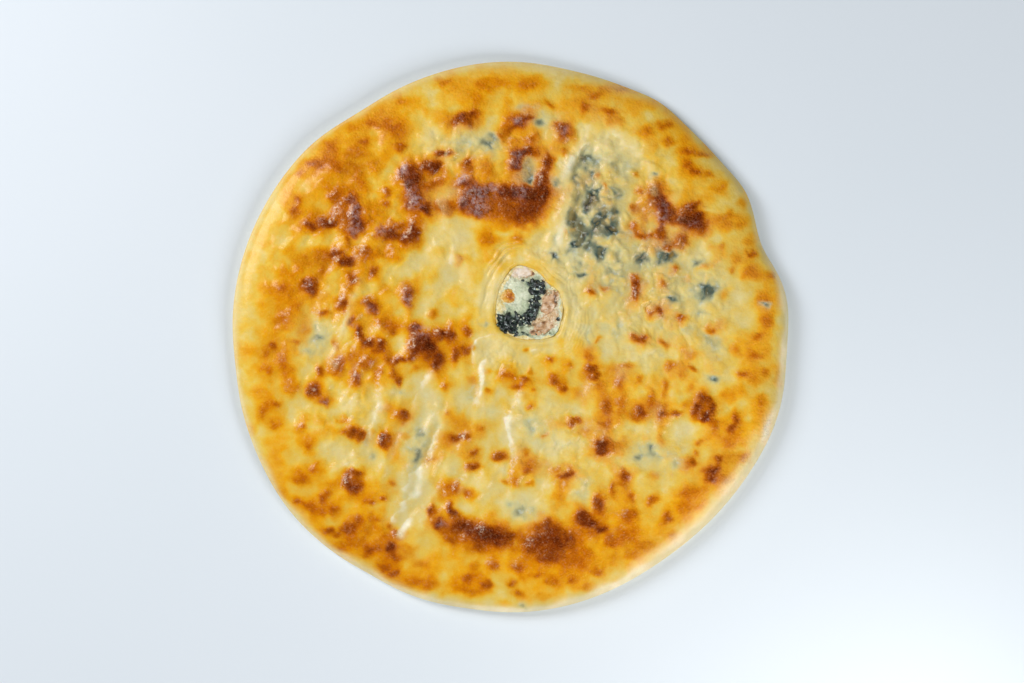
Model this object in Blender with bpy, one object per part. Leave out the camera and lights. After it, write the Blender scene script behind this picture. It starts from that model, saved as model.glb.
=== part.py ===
"""A thin round stuffed pie, baked flat: a dough crust with a steam vent, and its filling.

The crust is one closed shell of dough. The filling is a disc that runs through the pie inside
the crust and shows in the vent, where leaves, meat and a browned bit of cheese lie on it.

Seen from above, +X is right, +Y is up and +Z comes out of the table. The origin is on the
table, under the middle of the pie's box. Every size below is in millimetres.
"""

import math

import bpy

MM = 0.001
GAP = 0.3  # between the crust, the filling and the bits that lie on the filling

# The outline from above: a circle with soft swells and dents of the edge.
PIE_CENTRE = (-1.69, 0.01)
PIE_RADIUS = 165.0
EDGE_SWELLS = (  # angle and spread in degrees, reach
    (7, 8, 3.3),
    (20, 6, -3.6),
    (32, 5, 1.8),
    (57, 6, 2.2),
    (77, 8, -1.0),
    (112, 14, -2.0),
    (124, 9, -2.6),
    (162, 15, 0.5),
    (186, 8, -1.2),
    (219, 13, 1.8),
    (240, 6, -0.9),
    (262, 7, -0.8),
    (305, 17, -2.4),
    (345, 14, 3.4),
)

# The steam vent, torn a little off the middle.
VENT_CENTRE = (11.0, 20.0)
VENT_RADIUS = 20.5
VENT_SWELLS = (
    (15, 16, -1.0),
    (48, 22, -4.0),
    (108, 18, 2.9),
    (170, 22, -1.3),
    (218, 18, 2.4),
    (255, 24, 1.2),
    (308, 24, 3.6),
)

# The crust's section.
TOP_HEIGHT = 15.2  # of the flat middle, without its relief
SIDE_HEIGHT = 5.0  # where the edge is widest
SHOULDER = 28.0  # from the edge to where the top turns flat
FLOOR_THICKNESS = 3.0
ROOF_THICKNESS = 3.0
RIM_WIDTH = 12.0  # solid dough round the cavity
RIM_INNER_HEIGHT = 6.5  # of the cavity's end wall
CAVITY_SHOULDER = 20.0
RELIEF_FADE = 9.0  # the relief runs out over this width at the edge

# The lip round the vent, and how deep the filling lies in it.
LIP_WIDTH = 7.0
LIP_RISE = 0.7
LIP_ROLL = 1.0  # how far the lip's outer skin rolls down at the vent
LIP_THINNING = 1.0
VENT_FILLING_HEIGHT = 12.0

# Lumps of filling under the roof: centre, radius, height.
BROAD_SWELLS = (
    (-72, 62, 40, 0.7),
    (0, 92, 36, 0.8),
    (78, 78, 34, 0.8),
    (112, 0, 32, 0.5),
    (62, -60, 40, 0.7),
    (-8, -84, 32, 0.6),
    (-92, -72, 34, 0.5),
    (-104, 0, 34, 0.6),
    (-48, -14, 26, 0.6),
    (48, 4, 22, 0.4),
    (-24, 28, 16, -0.5),
    (34, 60, 14, -0.6),
    (-54, -96, 13, -0.9),
    (20, -122, 24, 0.5),
)

# Blisters and lumps that show in the skin: centre, half-sizes, turn in degrees, height.
BLISTERS = (
    (-109, 67, 10, 7, 0, 0.8),
    (-90, 72, 8, 11, 0, 0.9),
    (-58, 92, 9, 8, 20, 1.1),
    (-62, 25, 7, 9, 0, 0.9),
    (-51, -3, 13, 10, 0, 1.0),
    (-82, 2, 9, 7, 0, 0.8),
    (-28, 130, 11, 7, 0, 0.7),
    (-22, 80, 9, 9, 0, 1.2),
    (3, 76, 13, 11, 0, 1.0),
    (4, 106, 9, 9, 0, 0.9),
    (32, 121, 8, 8, 0, 0.7),
    (90, 72, 9, 15, -8, 1.2),
    (108, 73, 10, 8, 0, 0.8),
    (116, -41, 8, 9, 0, 0.9),
    (54, -65, 8, 7, 0, 0.8),
    (-94, -88, 9, 8, 0, 0.8),
    (-16, -119, 14, 9, -10, 0.9),
    (23, -123, 15, 10, 0, 0.8),
    (54, 98, 9, 11, 30, 0.8),
    (64, 82, 8, 9, 0, 0.7),
    (46, 74, 7, 10, 10, 0.7),
    (56, 60, 9, 8, 0, 0.6),
    (30, 94, 8, 9, 0, 0.6),
    (78, 40, 10, 8, 0, 0.7),
    (62, 22, 9, 9, 0, 0.6),
    (118, 26, 9, 8, 0, 0.6),
    (60, -14, 10, 8, 0, 0.5),
    (86, -70, 14, 8, 30, 0.7),
    (16, -58, 10, 9, 0, 0.6),
    (4, -104, 11, 8, 0, 0.6),
    (-92, -42, 10, 9, 0, 0.7),
    (-115, 4, 9, 8, 0, 0.6),
)

# Folds of the stretched skin: half-width, height, and the points of the crest.
FOLDS = (
    (3.6, 1.2, ((-42, -42), (-49, -58), (-52, -72), (-60, -81), (-65, -100), (-69, -108))),
    (3.6, -0.8, ((-50, -45), (-58, -60), (-66, -78))),
    (3.2, 0.9, ((-18, -12), (-18, -28), (-19, -42))),
    (3.2, 0.9, ((5, -36), (-2, -50), (0, -58), (3, -66))),
    (3.4, 0.9, ((-76, -33), (-80, -46), (-84, -60))),
    (3.2, 0.7, ((-100, 12), (-104, 0), (-107, -14))),
    (3.4, -1.0, ((42, 118), (40, 104), (37, 94), (41, 82), (37, 70))),
    (3.4, 0.9, ((42, 98), (33, 78), (28, 66), (24, 56))),
    (3.2, 0.8, ((76, 108), (72, 102), (68, 95))),
    (3.4, 0.8, ((-22, -8), (-20, -3), (-14, 0))),
    (3.4, 0.9, ((-16, 6), (-18, 18), (-15, 32), (-8, 42))),
    (3.2, 0.7, ((12, 49), (24, 44), (33, 34), (36, 24))),
    (3.2, 0.7, ((42, 14), (39, 2), (32, -7))),
)

# How close together the mesh's points lie.
TOP_SPACING = 6.6
CAVITY_SPACING = 13.0
VENT_SPACING = 3.2
VENT_POINTS = 36  # the fewest on a ring round the vent, so that its edge stays round
TOP_RINGS = 22
CAVITY_RINGS = 9
VENT_RINGS = 6
EDGE_BAND = 14.0  # the width of the edge that the edge rings below take
EDGE_RINGS = (9.5, 6.0, 3.4, 1.6, 0.5)  # inward from the outline, on the top
UNDERSIDE_RINGS = ((0.0, 4.6), (1.2, 2.0), (3.2, 0.5), (6.0, 0.0))  # inward, height
BASE_SHARES = (0.62, 0.28)  # of the radius, for the flat faces' inner rings

# The bits that lie on the filling in the vent: centre, half-sizes, turn in degrees, bend of
# the long axis, height above the filling, and how crumpled the top is.
VENT_BITS = {
    "spinach_lower": ((-2.1, 8.1), (7.4, 3.3), -46, 1.2, 2.3, 0.5),
    "spinach_front": ((5.7, 9.6), (3.9, 3.7), 20, 0.0, 1.7, 0.5),
    "spinach_middle": ((13.6, 16.0), (7.6, 2.9), 74, 0.6, 2.0, 0.5),
    "spinach_upper": ((16.4, 29.3), (4.6, 4.4), 30, 0.0, 2.4, 0.5),
    "chicken_upper": ((7.2, 37.9), (7.0, 3.3), 2, -1.0, 2.0, 0.25),
    "chicken_right": ((23.6, 20.9), (7.8, 4.2), 60, 0.8, 2.3, 0.25),
    "chicken_lower": ((18.2, 5.4), (7.8, 3.5), 24, 1.0, 1.9, 0.25),
    "browned_cheese": ((-1.2, 24.4), (4.5, 4.7), 0, 0.0, 1.9, 0.2),
}
BIT_POINTS = 20
BIT_RINGS = (0.3, 0.58, 0.82, 0.96)  # shares of the way out to the bit's outline
BIT_EDGE = 0.5  # height of a bit's side wall

# Colours, roughness.
CRUST_COLOUR = (0.80, 0.52, 0.20)
FILLING_COLOUR = (0.66, 0.68, 0.52)
SPINACH_COLOUR = (0.02, 0.04, 0.03)
CHICKEN_COLOUR = (0.66, 0.44, 0.30)
BROWNED_COLOUR = (0.62, 0.28, 0.06)


def remove_old_objects():
    for old in list(bpy.data.objects):
        bpy.data.objects.remove(old, do_unlink=True)


def swollen_radius(radius, swells, angle):
    """The radius of an outline at an angle, with its swells and dents."""
    for at, spread, reach in swells:
        turn = (math.degrees(angle) - at + 180.0) % 360.0 - 180.0
        radius += reach * math.exp(-((turn / spread) ** 2))
    return radius


def on_ray(centre, radius, angle):
    return (centre[0] + radius * math.cos(angle), centre[1] + radius * math.sin(angle))


def edge_point(inward, angle):
    """A point that lies inward of the pie's outline."""
    return on_ray(PIE_CENTRE, swollen_radius(PIE_RADIUS, EDGE_SWELLS, angle) - inward, angle)


def edge_distance(x, y):
    """How far a point lies inside the pie's outline."""
    across = x - PIE_CENTRE[0]
    along = y - PIE_CENTRE[1]
    edge = swollen_radius(PIE_RADIUS, EDGE_SWELLS, math.atan2(along, across))
    return edge - math.hypot(across, along)


def vent_point(share, angle):
    """A point on the way from the vent's centre, share 0, to its torn edge, share 1."""
    return on_ray(VENT_CENTRE, share * swollen_radius(VENT_RADIUS, VENT_SWELLS, angle), angle)


def vent_distance(x, y):
    """How far a point lies outside the vent's torn edge; negative in the vent."""
    across = x - VENT_CENTRE[0]
    along = y - VENT_CENTRE[1]
    edge = swollen_radius(VENT_RADIUS, VENT_SWELLS, math.atan2(along, across))
    return math.hypot(across, along) - edge


def between(share, angle, outer_inward):
    """A point on the way from the vent's edge, share 0, to near the outline, share 1."""
    near = vent_point(1.0, angle)
    far = edge_point(outer_inward, angle)
    return (near[0] + share * (far[0] - near[0]), near[1] + share * (far[1] - near[1]))


def arch(share):
    """A quarter circle's rise, from 0 to 1."""
    share = min(max(share, 0.0), 1.0)
    return math.sqrt(1.0 - (1.0 - share) ** 2)


def bump(distance):
    """A smooth bump: 1 at distance 0 and gone by about 2."""
    return math.exp(-(distance**2))


def broad_height(x, y):
    """The flat middle's height with the broad lumps of filling."""
    height = TOP_HEIGHT
    for at_x, at_y, radius, rise in BROAD_SWELLS:
        height += rise * bump(math.hypot(x - at_x, y - at_y) / radius)
    return height


def blister_height(x, y):
    height = 0.0
    for at_x, at_y, half_x, half_y, turn, rise in BLISTERS:
        cos, sin = math.cos(math.radians(turn)), math.sin(math.radians(turn))
        along = ((x - at_x) * cos + (y - at_y) * sin) / half_x
        across = ((y - at_y) * cos - (x - at_x) * sin) / half_y
        height += rise * bump(math.hypot(along, across))
    return height


def path_distance(x, y, path):
    """The distance from a point to a line through a few points."""
    nearest = math.inf
    for (ax, ay), (bx, by) in zip(path, path[1:]):
        run_x, run_y = bx - ax, by - ay
        share = ((x - ax) * run_x + (y - ay) * run_y) / (run_x**2 + run_y**2)
        share = min(max(share, 0.0), 1.0)
        nearest = min(nearest, math.hypot(x - ax - share * run_x, y - ay - share * run_y))
    return nearest


def fold_height(x, y):
    return sum(rise * bump(path_distance(x, y, path) / half) for half, rise, path in FOLDS)


def lip_height(x, y):
    """The roof swells to a soft lip round the vent and rolls down into it."""
    out = vent_distance(x, y)
    swell = LIP_RISE * bump((out - LIP_WIDTH / 2) / (LIP_WIDTH / 2))
    roll = LIP_ROLL * bump(out / (LIP_WIDTH / 4))
    return swell - roll


def top_height(x, y):
    """The crust's upper skin."""
    inside = edge_distance(x, y)
    relief = (blister_height(x, y) + fold_height(x, y)) * min(inside / RELIEF_FADE, 1.0)
    dome = (broad_height(x, y) - SIDE_HEIGHT) * arch(inside / SHOULDER)
    return SIDE_HEIGHT + dome + relief + lip_height(x, y)


def roof_underside(x, y):
    """The ceiling of the crust's cavity. It follows the broad lumps, not the skin's relief."""
    ceiling = broad_height(x, y) - ROOF_THICKNESS
    ceiling += LIP_THINNING * bump(vent_distance(x, y) / LIP_WIDTH)
    rise = arch((edge_distance(x, y) - RIM_WIDTH) / CAVITY_SHOULDER)
    return RIM_INNER_HEIGHT + (ceiling - RIM_INNER_HEIGHT) * rise


def filling_height(x, y):
    """The filling's upper face: just under the ceiling, and level in the vent."""
    into = min(max(-vent_distance(x, y) / (VENT_RADIUS / 2), 0.0), 1.0)
    under = roof_underside(x, y) - GAP
    return under + (VENT_FILLING_HEIGHT - under) * into * into * (3.0 - 2.0 * into)


def ring(count, place):
    """A closed ring of points, counter-clockwise from above."""
    return [place(math.tau * step / count) for step in range(count)]


def spaced(length, spacing):
    return max(8, round(length / spacing))


def count_at(share, spacing):
    """How many points a ring between the vent and the outline takes."""
    radius = VENT_RADIUS + share * (PIE_RADIUS - VENT_RADIUS)
    return max(VENT_POINTS, spaced(math.tau * radius, spacing))


def raised(point, height):
    return (point[0], point[1], height)


def lifted(point, height_of):
    """The point at the height that a surface has there."""
    return raised(point, height_of(*point))


def roof_rings(height_of, rings, spacing, outer_inward):
    """Rings over the pie from the vent's edge outward, on one surface."""
    made = []
    for step in range(rings + 1):
        share = step / rings
        count = count_at(share, spacing)
        made.append(
            ring(count, lambda at, s=share: lifted(between(s, at, outer_inward), height_of))
        )
    return made


def edge_rings(insets, height_of):
    count = count_at(1.0, TOP_SPACING)
    return [
        ring(count, lambda at, d=inward: lifted(edge_point(d, at), height_of))
        for inward in insets
    ]


def flat_rings(inward, height, spacing):
    """Rings of a flat face from its rim to near its middle."""
    made = []
    for share in BASE_SHARES:
        radius = (PIE_RADIUS - inward) * share
        count = spaced(math.tau * radius, spacing * 2)
        made.append(
            ring(count, lambda at, r=radius: raised(on_ray((0.0, 0.0), r, at), height))
        )
    return made


def stitch(faces, inner, outer):
    """Triangles between two rings, whichever ring has more points."""
    i = j = 0
    while i < len(inner) or j < len(outer):
        corner = inner[i % len(inner)]
        mate = outer[j % len(outer)]
        if (i + 1) * len(outer) <= (j + 1) * len(inner) and i < len(inner) or j == len(outer):
            faces.append((corner, mate, inner[(i + 1) % len(inner)]))
            i += 1
        else:
            faces.append((corner, mate, outer[(j + 1) % len(outer)]))
            j += 1


def closed_mesh(name, first_pole, rings, last_pole):
    """One closed skin: a pole, rings that go out over the top and back below, and a pole."""
    points = [first_pole]
    rows = []
    for row in rings:
        rows.append(list(range(len(points), len(points) + len(row))))
        points.extend(row)
    last = len(points)
    points.append(last_pole)
    faces = []
    for step, corner in enumerate(rows[0]):
        faces.append((0, corner, rows[0][(step + 1) % len(rows[0])]))
    for inner, outer in zip(rows, rows[1:]):
        stitch(faces, inner, outer)
    for step, corner in enumerate(rows[-1]):
        faces.append((corner, last, rows[-1][(step + 1) % len(rows[-1])]))
    mesh = bpy.data.meshes.new(name)
    mesh.from_pydata([[MM * size for size in point] for point in points], [], faces)
    mesh.shade_smooth()
    mesh.set_sharp_from_angle(angle=math.radians(60))
    return mesh


def material(name, colour, roughness):
    made = bpy.data.materials.new(name)
    made.use_nodes = True
    skin = made.node_tree.nodes["Principled BSDF"]
    skin.inputs["Base Color"].default_value = (*colour, 1.0)
    skin.inputs["Roughness"].default_value = roughness
    skin.inputs["Metallic"].default_value = 0.0
    return made


def add_object(name, mesh, colour, roughness):
    mesh.materials.append(material(name, colour, roughness))
    made = bpy.data.objects.new(name, mesh)
    bpy.context.scene.collection.objects.link(made)
    return made


def make_crust():
    """From the cavity's floor, up its wall, in along the ceiling, over the lip and out."""
    cavity = roof_rings(roof_underside, CAVITY_RINGS, CAVITY_SPACING, RIM_WIDTH)
    cavity_count = count_at(1.0, CAVITY_SPACING)
    floor_rim = ring(
        cavity_count, lambda at: raised(edge_point(RIM_WIDTH, at), FLOOR_THICKNESS)
    )
    skin = roof_rings(top_height, TOP_RINGS, TOP_SPACING, EDGE_BAND)
    skin_count = count_at(1.0, TOP_SPACING)
    below = [
        ring(skin_count, lambda at, d=inward, z=height: raised(edge_point(d, at), z))
        for inward, height in UNDERSIDE_RINGS
    ]
    rings = list(reversed(flat_rings(RIM_WIDTH, FLOOR_THICKNESS, CAVITY_SPACING)))
    rings += [floor_rim]
    rings += list(reversed(cavity))
    rings += skin
    rings += edge_rings(EDGE_RINGS, top_height)
    rings += below
    rings += flat_rings(UNDERSIDE_RINGS[-1][0], 0.0, TOP_SPACING)
    mesh = closed_mesh("crust", (0.0, 0.0, FLOOR_THICKNESS), rings, (0.0, 0.0, 0.0))
    return add_object("crust", mesh, CRUST_COLOUR, 0.35)


def make_filling():
    """A disc that fills the crust's cavity and shows in the vent."""
    inward = RIM_WIDTH + GAP
    in_vent = []
    for step in range(1, VENT_RINGS + 1):
        share = step / (VENT_RINGS + 1)
        count = spaced(math.tau * share * VENT_RADIUS, VENT_SPACING)
        in_vent.append(
            ring(count, lambda at, s=share: lifted(vent_point(s, at), filling_height))
        )
    roof = roof_rings(filling_height, CAVITY_RINGS, CAVITY_SPACING, RIM_WIDTH)
    bottom = FLOOR_THICKNESS + GAP
    wall = [
        ring(len(roof[-1]), lambda at, z=height: raised(edge_point(inward, at), z))
        for height in (RIM_INNER_HEIGHT - GAP, bottom)
    ]
    rings = in_vent + roof[:-1] + wall + flat_rings(inward, bottom, CAVITY_SPACING)
    pole = lifted(VENT_CENTRE, filling_height)
    mesh = closed_mesh("filling", pole, rings, (0.0, 0.0, bottom))
    return add_object("filling", mesh, FILLING_COLOUR, 0.5)


def bit_point(centre, halves, turn, bend, share, angle):
    """A point of a bit seen from above: a bent oval."""
    along = share * math.cos(angle)
    across = share * math.sin(angle)
    u = halves[0] * along
    v = halves[1] * across + bend * (along**2 - 0.5 * share)
    cos, sin = math.cos(math.radians(turn)), math.sin(math.radians(turn))
    return (centre[0] + u * cos - v * sin, centre[1] + u * sin + v * cos)


def make_bit(name, colour, roughness):
    """A bit of leaf, meat or cheese that lies on the filling, a hair above it."""
    centre, halves, turn, bend, height, crumple = VENT_BITS[name]

    def underside(point):
        return raised(point, filling_height(*point) + GAP)

    def upper(point, share):
        wave = math.sin(1.3 * point[0] + 0.4) * math.cos(1.1 * point[1]) + 0.2
        rise = BIT_EDGE + (height - BIT_EDGE) * arch(2.2 * (1.0 - share))
        return raised(point, underside(point)[2] + rise + crumple * wave * (1.0 - share))

    def place(share, angle):
        return bit_point(centre, halves, turn, bend, share, angle)

    rings = [
        ring(BIT_POINTS, lambda at, s=share: upper(place(s, at), s)) for share in BIT_RINGS
    ]
    rings.append(ring(BIT_POINTS, lambda at: upper(place(1.0, at), 1.0)))
    rings.append(ring(BIT_POINTS, lambda at: underside(place(0.98, at))))
    rings.append(ring(BIT_POINTS, lambda at: underside(place(0.5, at))))
    first = upper(place(0.0, 0.0), 0.0)
    last = underside(place(0.0, 0.0))
    return add_object(name, closed_mesh(name, first, rings, last), colour, roughness)


def main():
    remove_old_objects()
    make_crust()
    make_filling()
    for name in VENT_BITS:
        if name.startswith("spinach"):
            make_bit(name, SPINACH_COLOUR, 0.3)
        elif name.startswith("chicken"):
            make_bit(name, CHICKEN_COLOUR, 0.45)
        else:
            make_bit(name, BROWNED_COLOUR, 0.4)


main()
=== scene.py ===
"""The looks of a thin round stuffed pie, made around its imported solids.

The crust and the filling are made again as fine meshes from the same plan and section as the
solids. On top come the blisters, folds and wrinkles of the baked skin, and the bits in the vent.

Seen from above, +X is right, +Y is up and +Z comes out of the table. Sizes are in millimetres
until a mesh is made.
"""

import math

import bpy
import numpy as np
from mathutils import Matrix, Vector, noise


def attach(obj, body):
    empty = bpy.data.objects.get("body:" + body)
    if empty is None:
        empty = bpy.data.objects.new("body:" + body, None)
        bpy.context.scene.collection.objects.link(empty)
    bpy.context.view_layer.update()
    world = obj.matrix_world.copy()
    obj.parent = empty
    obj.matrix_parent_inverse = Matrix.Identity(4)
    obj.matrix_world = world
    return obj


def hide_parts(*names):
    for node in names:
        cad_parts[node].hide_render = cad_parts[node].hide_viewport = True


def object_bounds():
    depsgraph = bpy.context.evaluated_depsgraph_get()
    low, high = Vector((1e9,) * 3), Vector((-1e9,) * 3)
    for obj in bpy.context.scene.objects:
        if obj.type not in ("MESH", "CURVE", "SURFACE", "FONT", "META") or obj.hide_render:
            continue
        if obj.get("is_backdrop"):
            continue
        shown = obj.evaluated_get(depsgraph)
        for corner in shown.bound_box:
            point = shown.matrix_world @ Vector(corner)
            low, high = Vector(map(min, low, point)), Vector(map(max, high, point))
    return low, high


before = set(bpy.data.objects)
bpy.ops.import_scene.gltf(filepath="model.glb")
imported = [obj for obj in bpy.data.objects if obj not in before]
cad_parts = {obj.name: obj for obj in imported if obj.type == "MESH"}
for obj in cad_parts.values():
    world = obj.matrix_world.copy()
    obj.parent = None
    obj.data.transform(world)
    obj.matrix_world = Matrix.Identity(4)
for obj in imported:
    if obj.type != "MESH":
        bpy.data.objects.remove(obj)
CAD_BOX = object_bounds()

MM = 0.001
GAP = 0.3  # between the crust, the filling and the bits that lie on the filling

# ---- plan and section, as the solids

PIE_CENTRE = (-1.69, 0.01)
PIE_RADIUS = 165.0
EDGE_SWELLS = (  # angle and spread in degrees, reach
    (7, 8, 3.3),
    (20, 6, -3.6),
    (32, 5, 1.8),
    (57, 6, 2.2),
    (77, 8, -1.0),
    (112, 14, -2.0),
    (124, 9, -2.6),
    (162, 15, 0.5),
    (186, 8, -1.2),
    (219, 13, 1.8),
    (240, 6, -0.9),
    (262, 7, -0.8),
    (305, 17, -2.4),
    (345, 14, 3.4),
)

VENT_CENTRE = (11.0, 20.0)
VENT_RADIUS = 20.5
VENT_SWELLS = (
    (15, 16, -1.0),
    (48, 22, -4.0),
    (108, 18, 2.9),
    (170, 22, -1.3),
    (218, 18, 2.4),
    (255, 24, 1.2),
    (308, 24, 3.6),
)

TOP_HEIGHT = 15.2  # of the flat middle, without its relief
SIDE_HEIGHT = 5.0  # where the edge is widest
SHOULDER = 28.0  # from the edge to where the top turns flat
FLOOR_THICKNESS = 3.0
ROOF_THICKNESS = 3.0
RIM_WIDTH = 12.0  # solid dough round the cavity
RIM_INNER_HEIGHT = 6.5
CAVITY_SHOULDER = 20.0
RELIEF_FADE = 9.0  # the relief runs out over this width at the edge

LIP_WIDTH = 7.0
LIP_RISE = 0.7
LIP_ROLL = 1.0
LIP_THINNING = 1.0
VENT_FILLING_HEIGHT = 12.0

BROAD_SWELLS = (  # lumps of filling under the roof: centre, radius, height
    (-72, 62, 40, 0.7),
    (0, 92, 36, 0.8),
    (78, 78, 34, 0.8),
    (112, 0, 32, 0.5),
    (62, -60, 40, 0.7),
    (-8, -84, 32, 0.6),
    (-92, -72, 34, 0.5),
    (-104, 0, 34, 0.6),
    (-48, -14, 26, 0.6),
    (48, 4, 22, 0.4),
    (-24, 28, 16, -0.5),
    (34, 60, 14, -0.6),
    (-54, -96, 13, -0.9),
    (20, -122, 24, 0.5),
)

BLISTERS = (  # centre, half-sizes, turn in degrees, height
    (-109, 67, 10, 7, 0, 0.8),
    (-90, 72, 8, 11, 0, 0.9),
    (-58, 92, 9, 8, 20, 1.1),
    (-62, 25, 7, 9, 0, 0.9),
    (-51, -3, 13, 10, 0, 1.0),
    (-82, 2, 9, 7, 0, 0.8),
    (-28, 130, 11, 7, 0, 0.7),
    (-22, 80, 9, 9, 0, 1.2),
    (3, 76, 13, 11, 0, 1.0),
    (4, 106, 9, 9, 0, 0.9),
    (32, 121, 8, 8, 0, 0.7),
    (90, 72, 9, 15, -8, 1.2),
    (108, 73, 10, 8, 0, 0.8),
    (116, -41, 8, 9, 0, 0.9),
    (54, -65, 8, 7, 0, 0.8),
    (-94, -88, 9, 8, 0, 0.8),
    (-16, -119, 14, 9, -10, 0.9),
    (23, -123, 15, 10, 0, 0.8),
    (54, 98, 9, 11, 30, 0.8),
    (64, 82, 8, 9, 0, 0.7),
    (46, 74, 7, 10, 10, 0.7),
    (56, 60, 9, 8, 0, 0.6),
    (30, 94, 8, 9, 0, 0.6),
    (78, 40, 10, 8, 0, 0.7),
    (62, 22, 9, 9, 0, 0.6),
    (118, 26, 9, 8, 0, 0.6),
    (60, -14, 10, 8, 0, 0.5),
    (86, -70, 14, 8, 30, 0.7),
    (16, -58, 10, 9, 0, 0.6),
    (4, -104, 11, 8, 0, 0.6),
    (-92, -42, 10, 9, 0, 0.7),
    (-115, 4, 9, 8, 0, 0.6),
)

FOLDS = (  # of the stretched skin: half-width, height, and the points of the crest
    (3.6, 1.2, ((-42, -42), (-49, -58), (-52, -72), (-60, -81), (-65, -100), (-69, -108))),
    (3.6, -0.8, ((-50, -45), (-58, -60), (-66, -78))),
    (3.2, 0.9, ((-18, -12), (-18, -28), (-19, -42))),
    (3.2, 0.9, ((5, -36), (-2, -50), (0, -58), (3, -66))),
    (3.4, 0.9, ((-76, -33), (-80, -46), (-84, -60))),
    (3.2, 0.7, ((-100, 12), (-104, 0), (-107, -14))),
    (3.4, -1.0, ((42, 118), (40, 104), (37, 94), (41, 82), (37, 70))),
    (3.4, 0.9, ((42, 98), (33, 78), (28, 66), (24, 56))),
    (3.2, 0.8, ((76, 108), (72, 102), (68, 95))),
    (3.4, 0.8, ((-22, -8), (-20, -3), (-14, 0))),
    (3.4, 0.9, ((-16, 6), (-18, 18), (-15, 32), (-8, 42))),
    (3.2, 0.7, ((12, 49), (24, 44), (33, 34), (36, 24))),
    (3.2, 0.7, ((42, 14), (39, 2), (32, -7))),
)

# ---- finer relief, for looks alone

FINE_FOLDS = (  # half-width, height, and the points of the crest
    (2.0, 0.6, ((-89, 34), (-97, 12), (-105, -9))),
    (3.2, 1.3, ((43, 116), (38, 108), (34, 101), (32, 94), (34, 86), (33, 78), (30, 70), (31, 64))),
    (3.8, 1.4, ((32, 66), (30, 58), (27, 50))),
    (3.6, 1.3, ((40, 60), (38, 52), (39, 43))),
    (3.0, 0.9, ((48, 50), (51, 42))),
    (1.6, 0.5, ((76, 108), (68, 95))),
    (1.3, 0.6, ((115, 77), (124, 74))),
    (0.9, -0.4, ((96, -117), (107, -109))),
    (2.0, 0.6, ((-103, -78), (-93, -72))),
    (1.6, 0.6, ((-5, -76), (-6, -86))),
    (1.0, -0.5, ((76, -73), (81, -69), (86, -64))),
    (0.9, -0.5, ((-19, 10), (-16, 7), (-14, 4))),
    (1.4, 0.8, ((12, -8), (15, -7))),
    (1.0, -0.4, ((15, -10), (20, -8))),
    (1.6, 0.5, ((-46, -33), (-48, -40))),
    (1.2, -0.6, ((39, 46), (40, 41), (45, 37))),
    (2.0, 0.6, ((50, 118), (62, 112), (74, 113))),
    (1.3, 0.4, ((-40, 62), (-34, 54), (-31, 46))),
    (1.3, 0.4, ((-46, 60), (-41, 50), (-38, 44))),
)

SCARPS = (  # rise, half-width, how white (pale stretched dough, partly painted light on the face), how much painted shade at the foot, and the line, with its high side on the left
    (2.4, 2.6, 0.95, 0.25, ((-40, -40), (-43, -46), (-46, -58), (-48, -66))),
    (2.6, 3.4, 1.0, 0.25, ((-49, -69), (-54, -75), (-59, -82), (-62, -88))),
    (2.2, 2.8, 0.95, 0.2, ((-61, -94), (-64, -100), (-68, -108))),
    (1.8, 2.4, 0.85, 0.0, ((-58, -105), (-61, -109), (-65, -115))),
    (0.9, 1.2, 0.6, 0.0, ((-45, -35), (-47, -39))),
    (2.0, 2.6, 0.9, 0.0, ((-52, -22), (-54, -28), (-57, -38))),
    (1.6, 1.6, 0.9, 0.0, ((-17, -14), (-18, -24), (-18.5, -31), (-20, -38))),
    (1.6, 1.8, 0.7, 0.0, ((4, -34), (0, -42), (-4, -50))),
    (1.9, 3.0, 0.85, 0.0, ((-4, -51), (-2, -57), (-0.5, -63), (0, -69))),
    (1.8, 2.2, 0.85, 0.2, ((-79, -33), (-80, -40), (-82, -48), (-84, -58))),
    (1.0, 1.8, 0.5, 0.0, ((-94, 22), (-98, 12), (-102, 2), (-105, -9), (-107, -16))),
    (1.0, 1.2, 0.7, 0.0, ((-8, 2.5), (-13, 2), (-18, -1), (-21, -5), (-22.5, -10), (-22, -15))),
    (0.8, 1.6, 0.4, 0.0, ((-46, -90), (-50, -97), (-52, -104))),
    (0.9, 1.4, 0.4, 0.3, ((-62, -52), (-68, -62), (-73, -74))),
    (2.0, 1.4, 0.48, 0.6,
     ((38, 62), (36, 70), (38, 77), (40, 83), (38, 89), (36, 95), (40, 104), (44, 114))),
    (1.0, 1.4, 0.0, 0.4, ((28, 45), (24, 50), (25, 59))),
    (1.2, 1.6, 0.0, 0.35, ((35, 44), (34, 52), (35, 62))),
    (1.0, 1.8, 0.3, 0.4, ((52, 104), (49, 92), (50, 80), (44, 70), (45, 62))),
    (1.0, 2.2, 0.4, 0.0, ((60, 122), (72, 112), (80, 98), (84, 88))),
    (1.0, 2.4, 0.4, 0.0, ((-33, 124), (-40, 114), (-38, 104))),
    (1.4, 3.0, 0.48, 0.15, ((-42, 78), (-40, 66), (-34, 56), (-36, 46), (-30, 36))),
    (1.3, 2.4, 0.45, 0.0, ((-52, 66), (-50, 54), (-46, 44))),
    (1.0, 2.4, 0.3, 0.2, ((24, -48), (20, -60), (24, -72), (20, -84))),
    (1.0, 2.4, 0.3, 0.2, ((70, 16), (66, 4), (70, -10), (66, -22))),
    (1.0, 2.4, 0.3, 0.2, ((100, 52), (106, 44), (104, 34), (112, 26))),
    (1.0, 2.4, 0.3, 0.0, ((-112, 30), (-118, 18), (-116, 4))),
    (1.0, 2.4, 0.2, 0.2, ((88, -44), (84, -56), (88, -68))),
    (1.0, 2.4, 0.2, 0.2, ((-30, -62), (-34, -74), (-28, -88))),
    (1.0, 2.4, 0.2, 0.2, ((46, -30), (42, -40), (46, -52))),
)
SCARP_REACH = 9.0
CRISP = 0.5  # steps whiter than this have a sharp foot

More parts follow.
